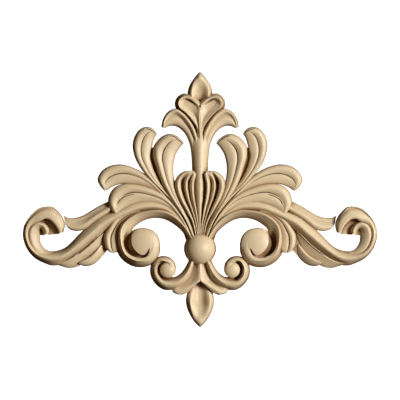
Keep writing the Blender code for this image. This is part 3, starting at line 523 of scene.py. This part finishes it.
# %% [markdown]
# ## Boss and eyes
# The boss and the eyes of the scrolls are turned buttons. Blender's UV sphere would need cutting and
# stretching, so a quarter ellipse is turned round instead, over a short straight wall.

# %% Buttons
TOP_ANGLE = 86.0


def button(centre, radius, rim, top, sides, levels, both):
    """Ring at angle a up the ellipse: radius times cosine of a out, rim plus the rest times sine up.
    The last ring stays open by a few degrees and gets a small flat cap."""
    rise = np.radians(np.linspace(0.0, TOP_ANGLE, levels))
    out = (radius + EDGE) * np.concatenate([[1.0], np.cos(rise)])
    up = np.concatenate([[-BACK_ALLOWANCE], rim + (top - rim) * np.sin(rise)])
    turn = np.linspace(0.0, 2 * math.pi, sides, endpoint=False)
    ring = np.stack([np.cos(turn), np.zeros(sides), np.sin(turn)], axis=-1)
    points = out[:, None, None] * ring + np.array([centre[0], 0.0, centre[1]])
    points[..., 1] = -up[:, None]
    keep(points, both, solids)


button((0.0, 0.0), 15.8, 4.2, 20.0, 72, 20, both=False)
button((55.6, 4.9), 15.3, 9.2, 14.5, 64, 16, both=True)
button((31.9, -21.0), 7.6, 8.0, 12.6, 44, 12, both=True)
print("strips and buttons so far:", len(solids))

# %% [markdown]
# ## The wing's arm
# A long arm sweeps out, dips and winds up into an end scroll with a thick rounded head. It is one strip
# from the boss to the head. Along the arm its crest runs down the middle, and in the head it moves
# over to the inner side. The rim that this leaves free in the end scroll carries a fine bead.

# %% Arm
wing_outer = [
    (10, 4), (16.5, 19), (25.5, 30), (36, 36.5), (50, 38.5), (64, 36), (76, 30.5), (85, 25.5), (96, 17),
    (102.5, 10), (110, 3.5), (118, -3), (126, -8), (134, -13), (141, -16), (147.5, -16.6), (156, -14),
    (165, -9), (171.7, -1.5), (175.4, 7), (176.6, 15), (175.3, 22), (171.6, 29.5), (166.2, 35.7),
    (160, 40.2), (153, 41.8), (147, 41.2), (142.3, 37.3), (137.5, 31), (135.3, 24), (136.8, 16.2)]
wing_inner = [
    (6, 9), (14, 25), (24, 38), (36, 45.5), (50, 48), (62, 47), (76, 42), (90, 35.7), (100.5, 31),
    (108, 25.5), (115, 19.5), (122, 13), (129, 5.5), (135, 0.8), (141, -1.8), (146.2, -2.8),
    (153, -3.5), (160, -2), (165.2, 2), (168.2, 7), (169.4, 12), (169.4, 18), (166.5, 22.7),
    (162.5, 25.8), (159, 28), (154.6, 30), (150.2, 29.4), (146.5, 26.5), (143.5, 23), (141.3, 18.5),
    (140.4, 15.6)]
strip(wing_outer, wing_inner, [
    (0.0, (5, 5, 5.6, 5, 4, 3.4, 3.2, 3, 3.2, 4, 5.5, 7, 8, 7.5, 5, 4), 1),
    ((0.1, 0.1, 0.1, 0.1, 0.1, 0.1, 0.1, 0.1, 0.1, 0.1, 0.08, 0.06, 0.06, 0.08, 0.1, 0.1),
     (7.4, 7.4, 7.4, 6.6, 5.4, 4.8, 4.8, 5, 5.4, 6.6, 8.6, 11, 11.6, 10.8, 9.4, 8), 1),
    ((0.2, 0.2, 0.2, 0.2, 0.2, 0.2, 0.2, 0.2, 0.2, 0.2, 0.18, 0.13, 0.13, 0.16, 0.2, 0.2),
     (9, 9, 8.8, 8.2, 7.2, 6.8, 6.8, 7, 7.6, 8.8, 10, 9.8, 9.8, 10.6, 10.8, 9.4), 0.3),
    ((0.42, 0.42, 0.42, 0.42, 0.42, 0.42, 0.42, 0.42, 0.42, 0.4, 0.38, 0.36, 0.36, 0.38, 0.42, 0.42),
     (10.4, 10.4, 10.8, 11.4, 11.8, 11.8, 11.8, 11.8, 11.8, 11.8, 12, 12.8, 13, 13.2, 13, 11.4), 1),
    ((0.52, 0.52, 0.52, 0.52, 0.52, 0.52, 0.52, 0.52, 0.52, 0.5, 0.5, 0.52, 0.6, 0.65, 0.65, 0.6),
     (10.4, 10.4, 10.8, 11.6, 12.3, 12.5, 12.5, 12.5, 12.5, 12.5, 12.3, 12.8, 13.8, 14, 13.6, 11.6), 1),
    ((0.64, 0.64, 0.64, 0.64, 0.64, 0.64, 0.64, 0.64, 0.64, 0.64, 0.64, 0.7, 0.82, 0.88, 0.86, 0.8),
     (9.8, 9.8, 10.2, 11, 11.4, 11.4, 11.4, 11.4, 11.4, 11.4, 11.4, 12, 13.8, 14, 13.6, 11), 1),
    ((0.88, 0.88, 0.88, 0.88, 0.88, 0.88, 0.88, 0.88, 0.88, 0.88, 0.88, 0.88, 0.92, 0.95, 0.95, 0.92),
     (8, 8, 8.4, 8.4, 7.8, 7, 6.6, 6.4, 6.4, 6.4, 6.6, 9.6, 13, 13.4, 13, 9.6), 1),
    (1.0, (5.4, 5.4, 5.6, 5.4, 4.6, 4, 3.5, 3.5, 3.5, 3.5, 3.5, 6, 11.6, 12, 11.4, 8), 1),
], 200)
print("strips with the arms:", len(solids))

# %% [markdown]
# ## The roll inside the end scroll
# A second strand rolls up inside the end scroll, round a small pit. Its crest stays near the outer line
# and its inner side falls gently. Two low strips fill what would be open to the back: one between the
# roll and the head, and one as the floor of the pit.

# %% Inner roll
CURL_TOP = 13.0
strip(
    [(150, -12), (159, -9), (167.4, -0.6), (170.3, 6.2), (171.6, 11.5), (171.2, 18), (167.5, 24.2),
     (161, 26.8), (156, 25.6), (152.5, 22.5), (150.6, 18.6), (150.8, 15.2)],
    [(148, -3), (154, -1.3), (158, 3), (160, 8), (160.2, 12), (160.3, 15.5), (160, 18), (159, 19.2),
     (157.8, 19), (157, 18), (156.6, 16.2), (156, 13.8)],
    [
        (0.0, part_of(CURL_TOP, 0.5, 0.52, 0.55, 0.58, 0.55, 0.5, 0.45), 1),
        (0.12, part_of(CURL_TOP, 0.55, 0.66, 0.76, 0.84, 0.86, 0.84, 0.7), 1),
        ((0.35, 0.32, 0.28, 0.28, 0.3, 0.34, 0.38),
         part_of(CURL_TOP, 0.6, 0.74, 0.86, 0.96, 1.0, 0.98, 0.84), 1),
        ((0.5, 0.48, 0.45, 0.45, 0.48, 0.55, 0.55),
         part_of(CURL_TOP, 0.6, 0.72, 0.82, 0.9, 0.94, 0.92, 0.8), 1),
        (0.85, part_of(CURL_TOP, 0.5, 0.56, 0.58, 0.6, 0.6, 0.58, 0.56), 1),
        (1.0, part_of(CURL_TOP, 0.4, 0.44, 0.44, 0.44, 0.42, 0.4, 0.4), 1),
    ], 100)
strip([(168, 22), (163, 27), (156, 31), (150, 30.5), (146.6, 27), (143.5, 23), (141.4, 18.5),
       (140.8, 14.4)],
      [(165, 18), (160, 20), (156, 21), (153.5, 20), (151.5, 18.5), (151, 17), (151.4, 15.4),
       (152.4, 13.9)],
      [(0.0, (5, 7, 7, 6.4, 6, 5.6, 5.4, 5.4), 1), (0.5, (5, 6, 6, 5.4, 5, 5, 5, 5), 1),
       (1.0, 4.4, 1)], 40)
strip([(161, 19), (161, 16), (160.6, 13.2)], [(155, 19), (155, 16), (155, 13.4)],
      [(0.0, 5, 1), (0.5, 4.6, 1), (1.0, 4.6, 1)], 12)
print("strips with the rolls:", len(solids))

# %% [markdown]
# ## The fishtail
# A fishtail leaf lies over the arm, where the arm dips. It climbs from its upper line to a crest near
# the arm and falls steeply on to it.

# %% Fishtail
TAIL_TOP = 9.0
strip(
    [(86, 50), (91.9, 46.8), (95.9, 45), (102.6, 41.5), (109.3, 37.4), (116, 33.4), (122.7, 31),
     (128.5, 30.3), (133, 31), (136, 32.8)],
    [(86, 38), (92.5, 34.5), (97, 31.5), (102.5, 28), (108, 24), (113, 20.3), (119, 18.2), (125, 18),
     (130.5, 19.8), (134.4, 24.5)],
    [
        (0.0, part_of(TAIL_TOP, 0.25, 0.25, 0.25, 0.25, 0.25), 1),
        (0.06, part_of(TAIL_TOP, 0.42, 0.42, 0.42, 0.42, 0.4), 1),
        (0.35, part_of(TAIL_TOP, 0.66, 0.66, 0.64, 0.58, 0.46), 1),
        ((0.62, 0.6, 0.62, 0.65, 0.7), part_of(TAIL_TOP, 1.0, 1.0, 0.98, 0.84, 0.62), 0.8),
        ((0.72, 0.7, 0.74, 0.78, 0.82), part_of(TAIL_TOP, 0.98, 0.98, 0.96, 0.86, 0.66), 0.8),
        (0.9, part_of(TAIL_TOP, 0.7, 0.7, 0.74, 0.74, 0.6), 1),
        (1.0, part_of(TAIL_TOP, 0.5, 0.5, 0.5, 0.5, 0.45), 1),
    ], 60)
print("strips with the fishtails:", len(solids))

# %% [markdown]
# ## The hanging leaves
# Two leaves hang below the arm. Each has its crest near the upper line and a face that slopes away
# below it. Only their numbers differ, so one loop makes both. A low strip fills the ground behind.

# %% Hanging leaves
HANGING_TOP, LOW_GROUND = 8.0, 2.5
HANGING = (
    ([(97, 18.5), (103, 12.5), (109, 6.2), (116, 0.4), (123, -5), (130, -9.6), (137, -13), (144, -14.5)],
     [(96, 13), (98.6, 7), (101.4, 0.6), (107, -6), (115, -12), (121, -17), (131, -19.2), (141, -16.8)],
     ((0.05, (0.6, 0.78, 0.82, 0.8, 0.66)), (0.13, (0.8, 0.98, 1.0, 0.95, 0.74)),
      (0.24, (0.76, 0.9, 0.93, 0.86, 0.72)), (0.5, (0.62, 0.7, 0.72, 0.66, 0.58)),
      (0.8, (0.46, 0.5, 0.52, 0.46, 0.42)), (0.94, (0.34, 0.38, 0.4, 0.34, 0.3)))),
    ([(98.6, 4.4), (101.4, 1.4), (104.6, -2.4), (108.4, -6.2), (112.8, -9.4), (117, -11.6),
      (119.8, -12.9), (121, -14.4)],
     [(96.4, 1), (96.6, -4.4), (99.4, -9.2), (103.6, -13.4), (108.2, -16.2), (113, -17.3), (117, -17),
      (119.6, -16)],
     ((0.08, (0.4, 0.7, 0.84, 0.86, 0.6)), (0.2, (0.5, 0.85, 1.0, 1.0, 0.8)),
      (0.45, (0.46, 0.74, 0.86, 0.86, 0.76)), (0.7, (0.36, 0.54, 0.66, 0.68, 0.62)),
      (0.85, (0.28, 0.42, 0.5, 0.52, 0.5)), (0.95, (0.22, 0.32, 0.38, 0.4, 0.38)))),
)
for upper, lower, section in HANGING:
    stations = [(across, part_of(HANGING_TOP, *shares), 0.8) for across, shares in section]
    strip(upper, lower, [(0.0, part_of(HANGING_TOP, 0.25, 0.25, 0.28, 0.3, 0.3), 1), *stations,
                         (1.0, part_of(HANGING_TOP, 0.2, 0.22, 0.25, 0.28, 0.25), 1)], 60)
strip([(94, 23), (98.6, 16), (101, 10.6), (103, 4), (104, -1), (104, -6)],
      [(86, 22), (90, 14), (91, 6), (92.3, 0), (95, -4), (97, -6.5)],
      flat(LOW_GROUND), 20)
print("strips with the hanging leaves:", len(solids))

# %% [markdown]
# ## The ear leaf
# An ear-shaped leaf is tucked between the arm and the big scroll. One sharp station between two soft
# ones cuts the groove along it, as in the long leaves.

# %% Ear leaf
EAR_TOP = 9.0
strip(
    [(60, 39), (73, 37), (84.5, 31), (91.5, 21.5), (95.6, 13.8), (95.6, 7.5), (94, 1), (90.5, -3),
     (87.5, -4.2)],
    [(58, 33), (67, 29.5), (75, 22), (78.6, 14.5), (79.4, 8.5), (79.6, 3), (80, -0.6), (81.4, -2.8),
     (84.5, -4)],
    [
        (0.0, part_of(EAR_TOP, 0.35, 0.3, 0.3, 0.3, 0.35), 1),
        (0.07, part_of(EAR_TOP, 0.7, 0.75, 0.76, 0.75, 0.62), 1),
        (0.2, part_of(EAR_TOP, 0.9, 0.98, 1.0, 0.98, 0.72), 1),
        (0.36, part_of(EAR_TOP, 0.88, 0.9, 0.92, 0.92, 0.74), 0.7),
        (0.42, part_of(EAR_TOP, 0.84, 0.7, 0.58, 0.68, 0.74), 0.1),
        (0.48, part_of(EAR_TOP, 0.84, 0.84, 0.86, 0.86, 0.74), 0.7),
        (0.75, part_of(EAR_TOP, 0.7, 0.74, 0.8, 0.84, 0.7), 1),
        (0.93, part_of(EAR_TOP, 0.56, 0.6, 0.7, 0.74, 0.6), 1),
        (1.0, part_of(EAR_TOP, 0.5, 0.5, 0.5, 0.5, 0.45), 1),
    ], 70)
print("strips with the ear leaves:", len(solids))

# %% [markdown]
# ## Knife lines
# A few lines are cut with one pull of a knife across what lies there already. A narrow cutter that
# follows the line gives the same groove. Its floor rises where the knife came up, and so the groove
# tapers off. With what a strip grows by on both sides, each groove is just under a millimetre wide.

# %% Knife lines
KNIFE_WIDTH = 0.3


def knife(line, floor):
    """Cutter between two lines half a knife's width to each side of the given one, measured square
    to the direction in which the line runs."""
    line = np.array(line, dtype=float)
    run = np.gradient(line, axis=0)
    square = np.stack([-run[:, 1], run[:, 0]], axis=1) / np.linalg.norm(run, axis=1)[:, None]
    cutter(line + square * KNIFE_WIDTH / 2, line - square * KNIFE_WIDTH / 2, floor, 30)


knife([(82.2, 43.6), (81.4, 46), (79.4, 48.8), (76.6, 50.9), (73, 52.7), (69, 53.8), (65.4, 54.3)],
      (11, 8.4, 8, 8.4, 11))
knife([(91.5, 21.3), (96.8, 16), (102.3, 11), (107.2, 6.2), (112.7, 1.4), (119.3, -3.8), (124.8, -7.4)],
      (4, 3, 3, 3.5, 4, 5, 8))
knife([(29, 112.6), (24.4, 110.8), (20.6, 107.8), (18, 105.6)], (11, 8.5, 8, 8))
knife([(54.6, 119.6), (50.4, 118.8), (47, 117.2), (44.8, 115)], (9.5, 7, 6.5, 6.5))
print("cutters with the knife lines:", len(cutters))

# %% [markdown]
# ## The skirt
# Two leaves spread below the boss. Their inner rims meet in a ridge on the middle line and part again
# over the lower bud, and each has a hollow between the ridge and its outer side.

# %% Skirt
SKIRT_TOP = 9.8
strip(
    [(6, -9), (11, -19), (17, -27), (22, -33.5), (25.6, -38), (27.6, -41.2), (26.6, -43.6),
     (22.4, -45.7)],
    [(-1.5, -10), (-1.5, -18), (-1.5, -24.5), (-0.5, -31.2), (4.6, -35.6), (9.2, -40.2), (13.4, -44),
     (18.4, -46.2)],
    [
        (0.0, part_of(SKIRT_TOP, 0.5, 0.5, 0.5, 0.5, 0.5, 0.5, 0.4), 1),
        ((0.08, 0.12, 0.12, 0.12, 0.12, 0.15, 0.2),
         part_of(SKIRT_TOP, 0.6, 0.58, 0.58, 0.6, 0.66, 0.68, 0.6), 1),
        ((0.2, 0.3, 0.38, 0.4, 0.4, 0.4, 0.4),
         part_of(SKIRT_TOP, 0.58, 0.54, 0.52, 0.56, 0.72, 0.8, 0.7), 1),
        ((0.36, 0.46, 0.56, 0.64, 0.66, 0.66, 0.66),
         part_of(SKIRT_TOP, 0.66, 0.62, 0.6, 0.7, 0.88, 0.82, 0.64), 1),
        ((0.52, 0.62, 0.7, 0.76, 0.8, 0.8, 0.8),
         part_of(SKIRT_TOP, 0.8, 0.78, 0.79, 0.88, 0.9, 0.74, 0.58), 1),
        ((0.66, 0.76, 0.82, 0.87, 0.9, 0.9, 0.9),
         part_of(SKIRT_TOP, 0.95, 0.96, 0.97, 0.99, 0.86, 0.68, 0.52), 1),
        ((0.8, 0.87, 0.91, 0.94, 0.96, 0.96, 0.96),
         part_of(SKIRT_TOP, 1.03, 1.04, 1.04, 1.0, 0.8, 0.6, 0.46), 1),
        (1.0, part_of(SKIRT_TOP, 0.95, 0.96, 0.96, 0.92, 0.72, 0.52, 0.42), 1),
    ], 80)
print("strips and buttons in all:", len(solids))

# %% [markdown]
# ## From grids to objects
# So far there are only arrays of points and faces. A mesh takes them with from_pydata, in metres. A
# mirrored strip comes out inside out, so every mesh then has its faces turned outwards. Each strip
# becomes an object of its own, because a Boolean needs operands that don't cross themselves.

# %% Objects
def mesh_object(name, parts):
    """One object from a list of tubes in millimetres: the points of a tube are numbered on from those
    of the tube before it."""
    starts = np.cumsum([0] + [len(points) for points, _, _ in parts[:-1]])
    points = np.concatenate([points for points, _, _ in parts]) * MM
    faces = []
    for start, (_, sides, caps) in zip(starts, parts):
        faces += (sides + start).tolist() + (caps + start).tolist()
    mesh = bpy.data.meshes.new(name)
    mesh.from_pydata(points, [], faces)
    shape = bmesh.new()
    shape.from_mesh(mesh)
    bmesh.ops.recalc_face_normals(shape, faces=shape.faces[:])
    shape.to_mesh(mesh)
    shape.free()
    thing = bpy.data.objects.new(name, mesh)
    bpy.context.scene.collection.objects.link(thing)
    return thing


carving = mesh_object("carved_onlay", solids[:1])
others = bpy.data.collections.new("other_strips")
for number, solid in enumerate(solids[1:]):
    others.objects.link(mesh_object(f"strip_{number}", [solid]))

# %% [markdown]
# ## One piece of wood
# The real onlay has no joints, so the strips have to become one skin with nothing inside. A voxel
# remesh would blunt the veins, and Booleans keep them. The first Boolean unites the first strip with a
# collection of all the others. The second takes away a slab behind the back plane, which leaves the
# back flat. The third takes away the cutters, which don't cross each other and so can be one object.
# The manifold solver does this in seconds, because every strip is a closed tube.

# %% Union
SLAB_DEPTH = 20.0
SLAB_CORNERS = ((-250.0, -150.0), (250.0, -150.0), (250.0, 250.0), (-250.0, 250.0))


def boolean(thing, name, operation, **operand):
    """A Boolean by the manifold solver, with one object or a collection of them as its operand."""
    step = thing.modifiers.new(name, "BOOLEAN")
    step.operation, step.solver = operation, "MANIFOLD"
    for key, value in operand.items():
        setattr(step, key, value)


slab_points = np.array([[(x, y, z) for x, z in SLAB_CORNERS] for y in (0.0, SLAB_DEPTH)])
slab = mesh_object("slab", [closed_tube(slab_points)])
cutting_tool = mesh_object("cutting_tool", cutters)
boolean(carving, "Unite", "UNION", operand_type="COLLECTION", collection=others)
boolean(carving, "Flat back", "DIFFERENCE", object=slab)
boolean(carving, "Slots", "DIFFERENCE", object=cutting_tool)
depsgraph = bpy.context.evaluated_depsgraph_get()
united = bpy.data.meshes.new_from_object(carving.evaluated_get(depsgraph))
carving.modifiers.clear()
carving.data = united
for helper in [slab, cutting_tool, *others.objects]:
    bpy.data.objects.remove(helper)
bpy.data.collections.remove(others)
print("faces after the Booleans:", len(united.polygons))

# %% [markdown]
# ## Soft shading with crisp corners
# Smooth shading hides the grid, but a corner between two leaves must stay a corner. Marking the edges
# that turn by more than a set angle as sharp does both.

# %% Shading
SHARP_ANGLE = 32.0
united.polygons.foreach_set("use_smooth", np.ones(len(united.polygons), dtype=bool))
united.set_sharp_from_angle(angle=math.radians(SHARP_ANGLE))
triangles = int(sum(len(p.vertices) - 2 for p in united.polygons))
print("triangles:", triangles)

# %% [markdown]
# ## Painted shade in the hollows
# Shade is painted into the veins and gullies: brown is mixed into their colour by how deep they lie.
# How much a point lies in a hollow is its height against the mean height round it. The Ambient
# Occlusion node could guess that while it renders, but an attribute is worked out once, from a
# height map with cells of one millimetre. A point that lies HOLLOW_DEPTH millimetres below its
# surroundings is fully brown.

# %% Painted shade in the hollows
MAP_CORNER, MAP_SIZE = np.array([-190.0, -90.0]), (380, 280)
HOLLOW_REACH, HOLLOW_DEPTH, BACK_RIM = 3.0, 4.0, 0.5
WINDOW_REACHES, LEAST_FILLED = 3, 0.01


def softened(field):
    """Mean with weights that follow a bell curve of HOLLOW_REACH cells, first along one axis, then
    along the other."""
    reach = np.arange(-WINDOW_REACHES * HOLLOW_REACH, WINDOW_REACHES * HOLLOW_REACH + 1)
    weight = np.exp(-0.5 * (reach / HOLLOW_REACH) ** 2)
    for axis in (0, 1):
        field = np.apply_along_axis(np.convolve, axis, field, weight / weight.sum(), mode="same")
    return field


points = np.empty(len(united.vertices) * 3)
united.vertices.foreach_get("co", points)
points = points.reshape(-1, 3) / MM
height = -points[:, 1]
cell = tuple(np.round(points[:, [0, 2]] - MAP_CORNER).astype(int).T)
height_map = np.zeros(MAP_SIZE)
np.maximum.at(height_map, cell, np.where(height > BACK_RIM, height, 0.0))
filled = (height_map > 0).astype(float)
mean_height = softened(height_map) / np.maximum(softened(filled), LEAST_FILLED)
# Painted shade: how much brown each point gets, by how far it lies below the mean height round it.
hollow = np.clip((mean_height[cell] - height) / HOLLOW_DEPTH, 0.0, 1.0) * (height > BACK_RIM)
united.attributes.new("hollow", "FLOAT", "POINT").data.foreach_set("value", hollow)
print("share of points in a hollow:", round(float((hollow > 0).mean()), 3))

# %% [markdown]
# ## Two helpers for materials
# Colours are written as sRGB hex codes, but a shader reckons in linear light, so one function turns
# them. Nodes could be placed by hand in the editor. Here a call adds each one, and says what it is set
# to and where its inputs come from.

# %% Helpers
def linear(code):
    """Linear colour from an sRGB hex code: each channel through the sRGB curve."""
    values = np.array([int(code[i:i + 2], 16) for i in (1, 3, 5)]) / 255.0
    curve = np.where(values <= 0.04045, values / 12.92, ((values + 0.055) / 1.055) ** 2.4)
    return (*curve.tolist(), 1.0)


def node(tree, kind, settings, links):
    """Adds one node, sets its sockets and properties by name, and links sockets to others' outputs."""
    made = tree.nodes.new(kind)
    for name, value in settings.items():
        if name in made.inputs:
            made.inputs[name].default_value = value
        else:
            setattr(made, name, value)
    for name, source in links.items():
        tree.links.new(source, made.inputs[name])
    return made


print("middle grey in linear light:", round(linear("#808080")[0], 3))

# %% [markdown]
# ## Pale wood
# The onlay is pressed and carved wood pulp, sanded and left unfinished: a pale honey colour, matt, with
# a very fine grain along its width. Wood could be an image, but noise stretched along the grain needs
# no file and has no seams. The sizes of the grain below are in millimetres. Real fibres are a tenth
# as wide, which is too fine to show, so they are drawn this coarse.

# %% Wood
GRAIN_LENGTH, GRAIN_WIDTH, GRAIN_DEPTH = 25 / 3, 5 / 7, 0.2
# The last colour is painted shade, mixed in where a point lies in a hollow.
GRAIN_DARK, GRAIN_LIGHT, HOLLOW_SHADE_BROWN = "#D0B991", "#D6C19D", "#80542C"
ROUGHNESS = 0.5


def pale_wood():
    """Bare sanded wood: its open, slightly fibrous surface gives a broad, dull sheen and no glints. The
    grain is noise between two close tans, and in a hollow brown is mixed in as painted shade."""
    material = bpy.data.materials.new("pale_wood_painted_shade")
    material.use_nodes = True
    tree = material.node_tree
    shader = tree.nodes["Principled BSDF"]
    shader.inputs["Roughness"].default_value = ROUGHNESS
    place = node(tree, "ShaderNodeTexCoord", {}, {})
    along_grain, across_grain = 1 / (GRAIN_LENGTH * MM), 1 / (GRAIN_WIDTH * MM)
    grain_place = node(tree, "ShaderNodeMapping", {"Scale": (along_grain, along_grain, across_grain)},
                       {"Vector": place.outputs["Object"]})
    grain = node(tree, "ShaderNodeTexNoise", {"Scale": 1.0, "Detail": 4.0},
                 {"Vector": grain_place.outputs["Vector"]})
    colour = node(tree, "ShaderNodeValToRGB", {}, {"Fac": grain.outputs["Fac"]})
    ramp = colour.color_ramp
    ramp.elements[0].position, ramp.elements[0].color = 0.3, linear(GRAIN_DARK)
    ramp.elements[1].position, ramp.elements[1].color = 0.7, linear(GRAIN_LIGHT)
    # Painted shade: the hollow attribute mixes brown into the grain's colour.
    hollow_shade_mask = node(tree, "ShaderNodeAttribute", {"attribute_name": "hollow"}, {})
    shade = node(tree, "ShaderNodeMixRGB", {"Color2": linear(HOLLOW_SHADE_BROWN)},
                 {"Fac": hollow_shade_mask.outputs["Fac"], "Color1": colour.outputs["Color"]})
    bump = node(tree, "ShaderNodeBump", {"Strength": 0.15, "Distance": GRAIN_DEPTH * MM},
                {"Height": grain.outputs["Fac"]})
    tree.links.new(shade.outputs["Color"], shader.inputs["Base Color"])
    tree.links.new(bump.outputs["Normal"], shader.inputs["Normal"])
    return material


united.materials.clear()
united.materials.append(pale_wood())
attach(carving, "root")
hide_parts("onlay")
print("linear colour of the light grain:", [round(v, 3) for v in linear(GRAIN_LIGHT)[:3]])

# %% [markdown]
# ## Studio
# The onlay is shown square on against white. One strong lamp stands to the right, a little above it, so
# the sides that face left fall into shade. A weak warm lamp and a weak warm sky keep that shade from
# going grey, and a weak lamp behind lights the back. A white sheet stands far enough behind to
# catch no shadow, and to leave room for a look at the back.

# %% Studio
TARGET = (0.0, 0.0, 0.05)
LAMPS = {
    "key_light": ((2.07, -2.13, 0.5), 0.7, 123.0, (0.97, 0.98, 1.0)),
    "back_light": ((1.6, 1.7, 1.2), 0.7, 6.0, (1.0, 0.98, 0.96)),
    "fill_light": ((-0.4, -2.4, 0.4), 1.5, 1.0, (1.0, 0.7, 0.4)),
}
SKY_COLOUR, SKY_STRENGTH = (1.0, 0.56, 0.22, 1.0), 0.05


def area_light(name, place, size, power, colour):
    """A square lamp, its side in metres and its power in watts, turned so that -Z points at TARGET."""
    lamp = bpy.data.lights.new(name, "AREA")
    lamp.size, lamp.energy, lamp.color = size, power, colour
    thing = bpy.data.objects.new(name, lamp)
    bpy.context.scene.collection.objects.link(thing)
    thing.location = place
    offset = np.array(TARGET) - np.array(place)
    thing.rotation_euler = mathutils.Vector(offset).to_track_quat("-Z", "Y").to_euler()


for name, (place, size, power, colour) in LAMPS.items():
    area_light(name, place, size, power, colour)
world = bpy.data.worlds.new("studio")
world.use_nodes = True
sky = world.node_tree.nodes["Background"].inputs
sky["Color"].default_value, sky["Strength"].default_value = SKY_COLOUR, SKY_STRENGTH
bpy.context.scene.world = world
print("lamps:", *LAMPS)

# %% [markdown]
# ## White sheet
# The sheet glows by itself, so it stays evenly white where no lamp reaches. Light that it would throw
# back on the wood is switched off, because the shade on the left would lose its depth.

# %% Sheet
SHEET_REACH, SHEET_BEHIND = 6.0, 4.0
WHITE = (1.0, 1.0, 1.0, 1.0)
corners = [(x * SHEET_REACH, SHEET_BEHIND, z * SHEET_REACH)
           for x, z in ((-1, -1), (1, -1), (1, 1), (-1, 1))]
sheet_mesh = bpy.data.meshes.new("white_sheet")
sheet_mesh.from_pydata(corners, [], [(0, 1, 2, 3)])
sheet = bpy.data.objects.new("white_sheet", sheet_mesh)
bpy.context.scene.collection.objects.link(sheet)
white = bpy.data.materials.new("white_card")
white.use_nodes = True
white_shader = white.node_tree.nodes["Principled BSDF"]
white_shader.inputs["Base Color"].default_value = WHITE
white_shader.inputs["Emission Color"].default_value = WHITE
white_shader.inputs["Emission Strength"].default_value = 1.0
sheet_mesh.materials.append(white)
sheet.visible_diffuse = False
sheet.visible_glossy = False
print("sheet in metres:", [round(2 * SHEET_REACH, 1)] * 2, "behind the back plane by:", SHEET_BEHIND)

# %% [markdown]
# ## Camera
# No side of the onlay looks larger than the other, so the camera stands straight in front and well
# back. The lens follows from the width that the picture takes in at that distance. The view transform
# Standard shows the colours as they are set, without a film look.

# %% Camera
PICTURE_WIDTH, PICTURE_MIDDLE = 0.400, (0.0, 0.0486)
DISTANCE, SENSOR = 2.4, 36.0
camera_data = bpy.data.cameras.new("camera")
camera_data.sensor_width = SENSOR
camera_data.lens = SENSOR * DISTANCE / PICTURE_WIDTH
camera = bpy.data.objects.new("camera", camera_data)
bpy.context.scene.collection.objects.link(camera)
camera.location = (PICTURE_MIDDLE[0], -DISTANCE, PICTURE_MIDDLE[1])
camera.rotation_euler = (math.radians(90), 0.0, 0.0)
bpy.context.scene.camera = camera
bpy.context.scene.view_settings.view_transform = "Standard"
print("lens in mm:", round(camera_data.lens, 1))
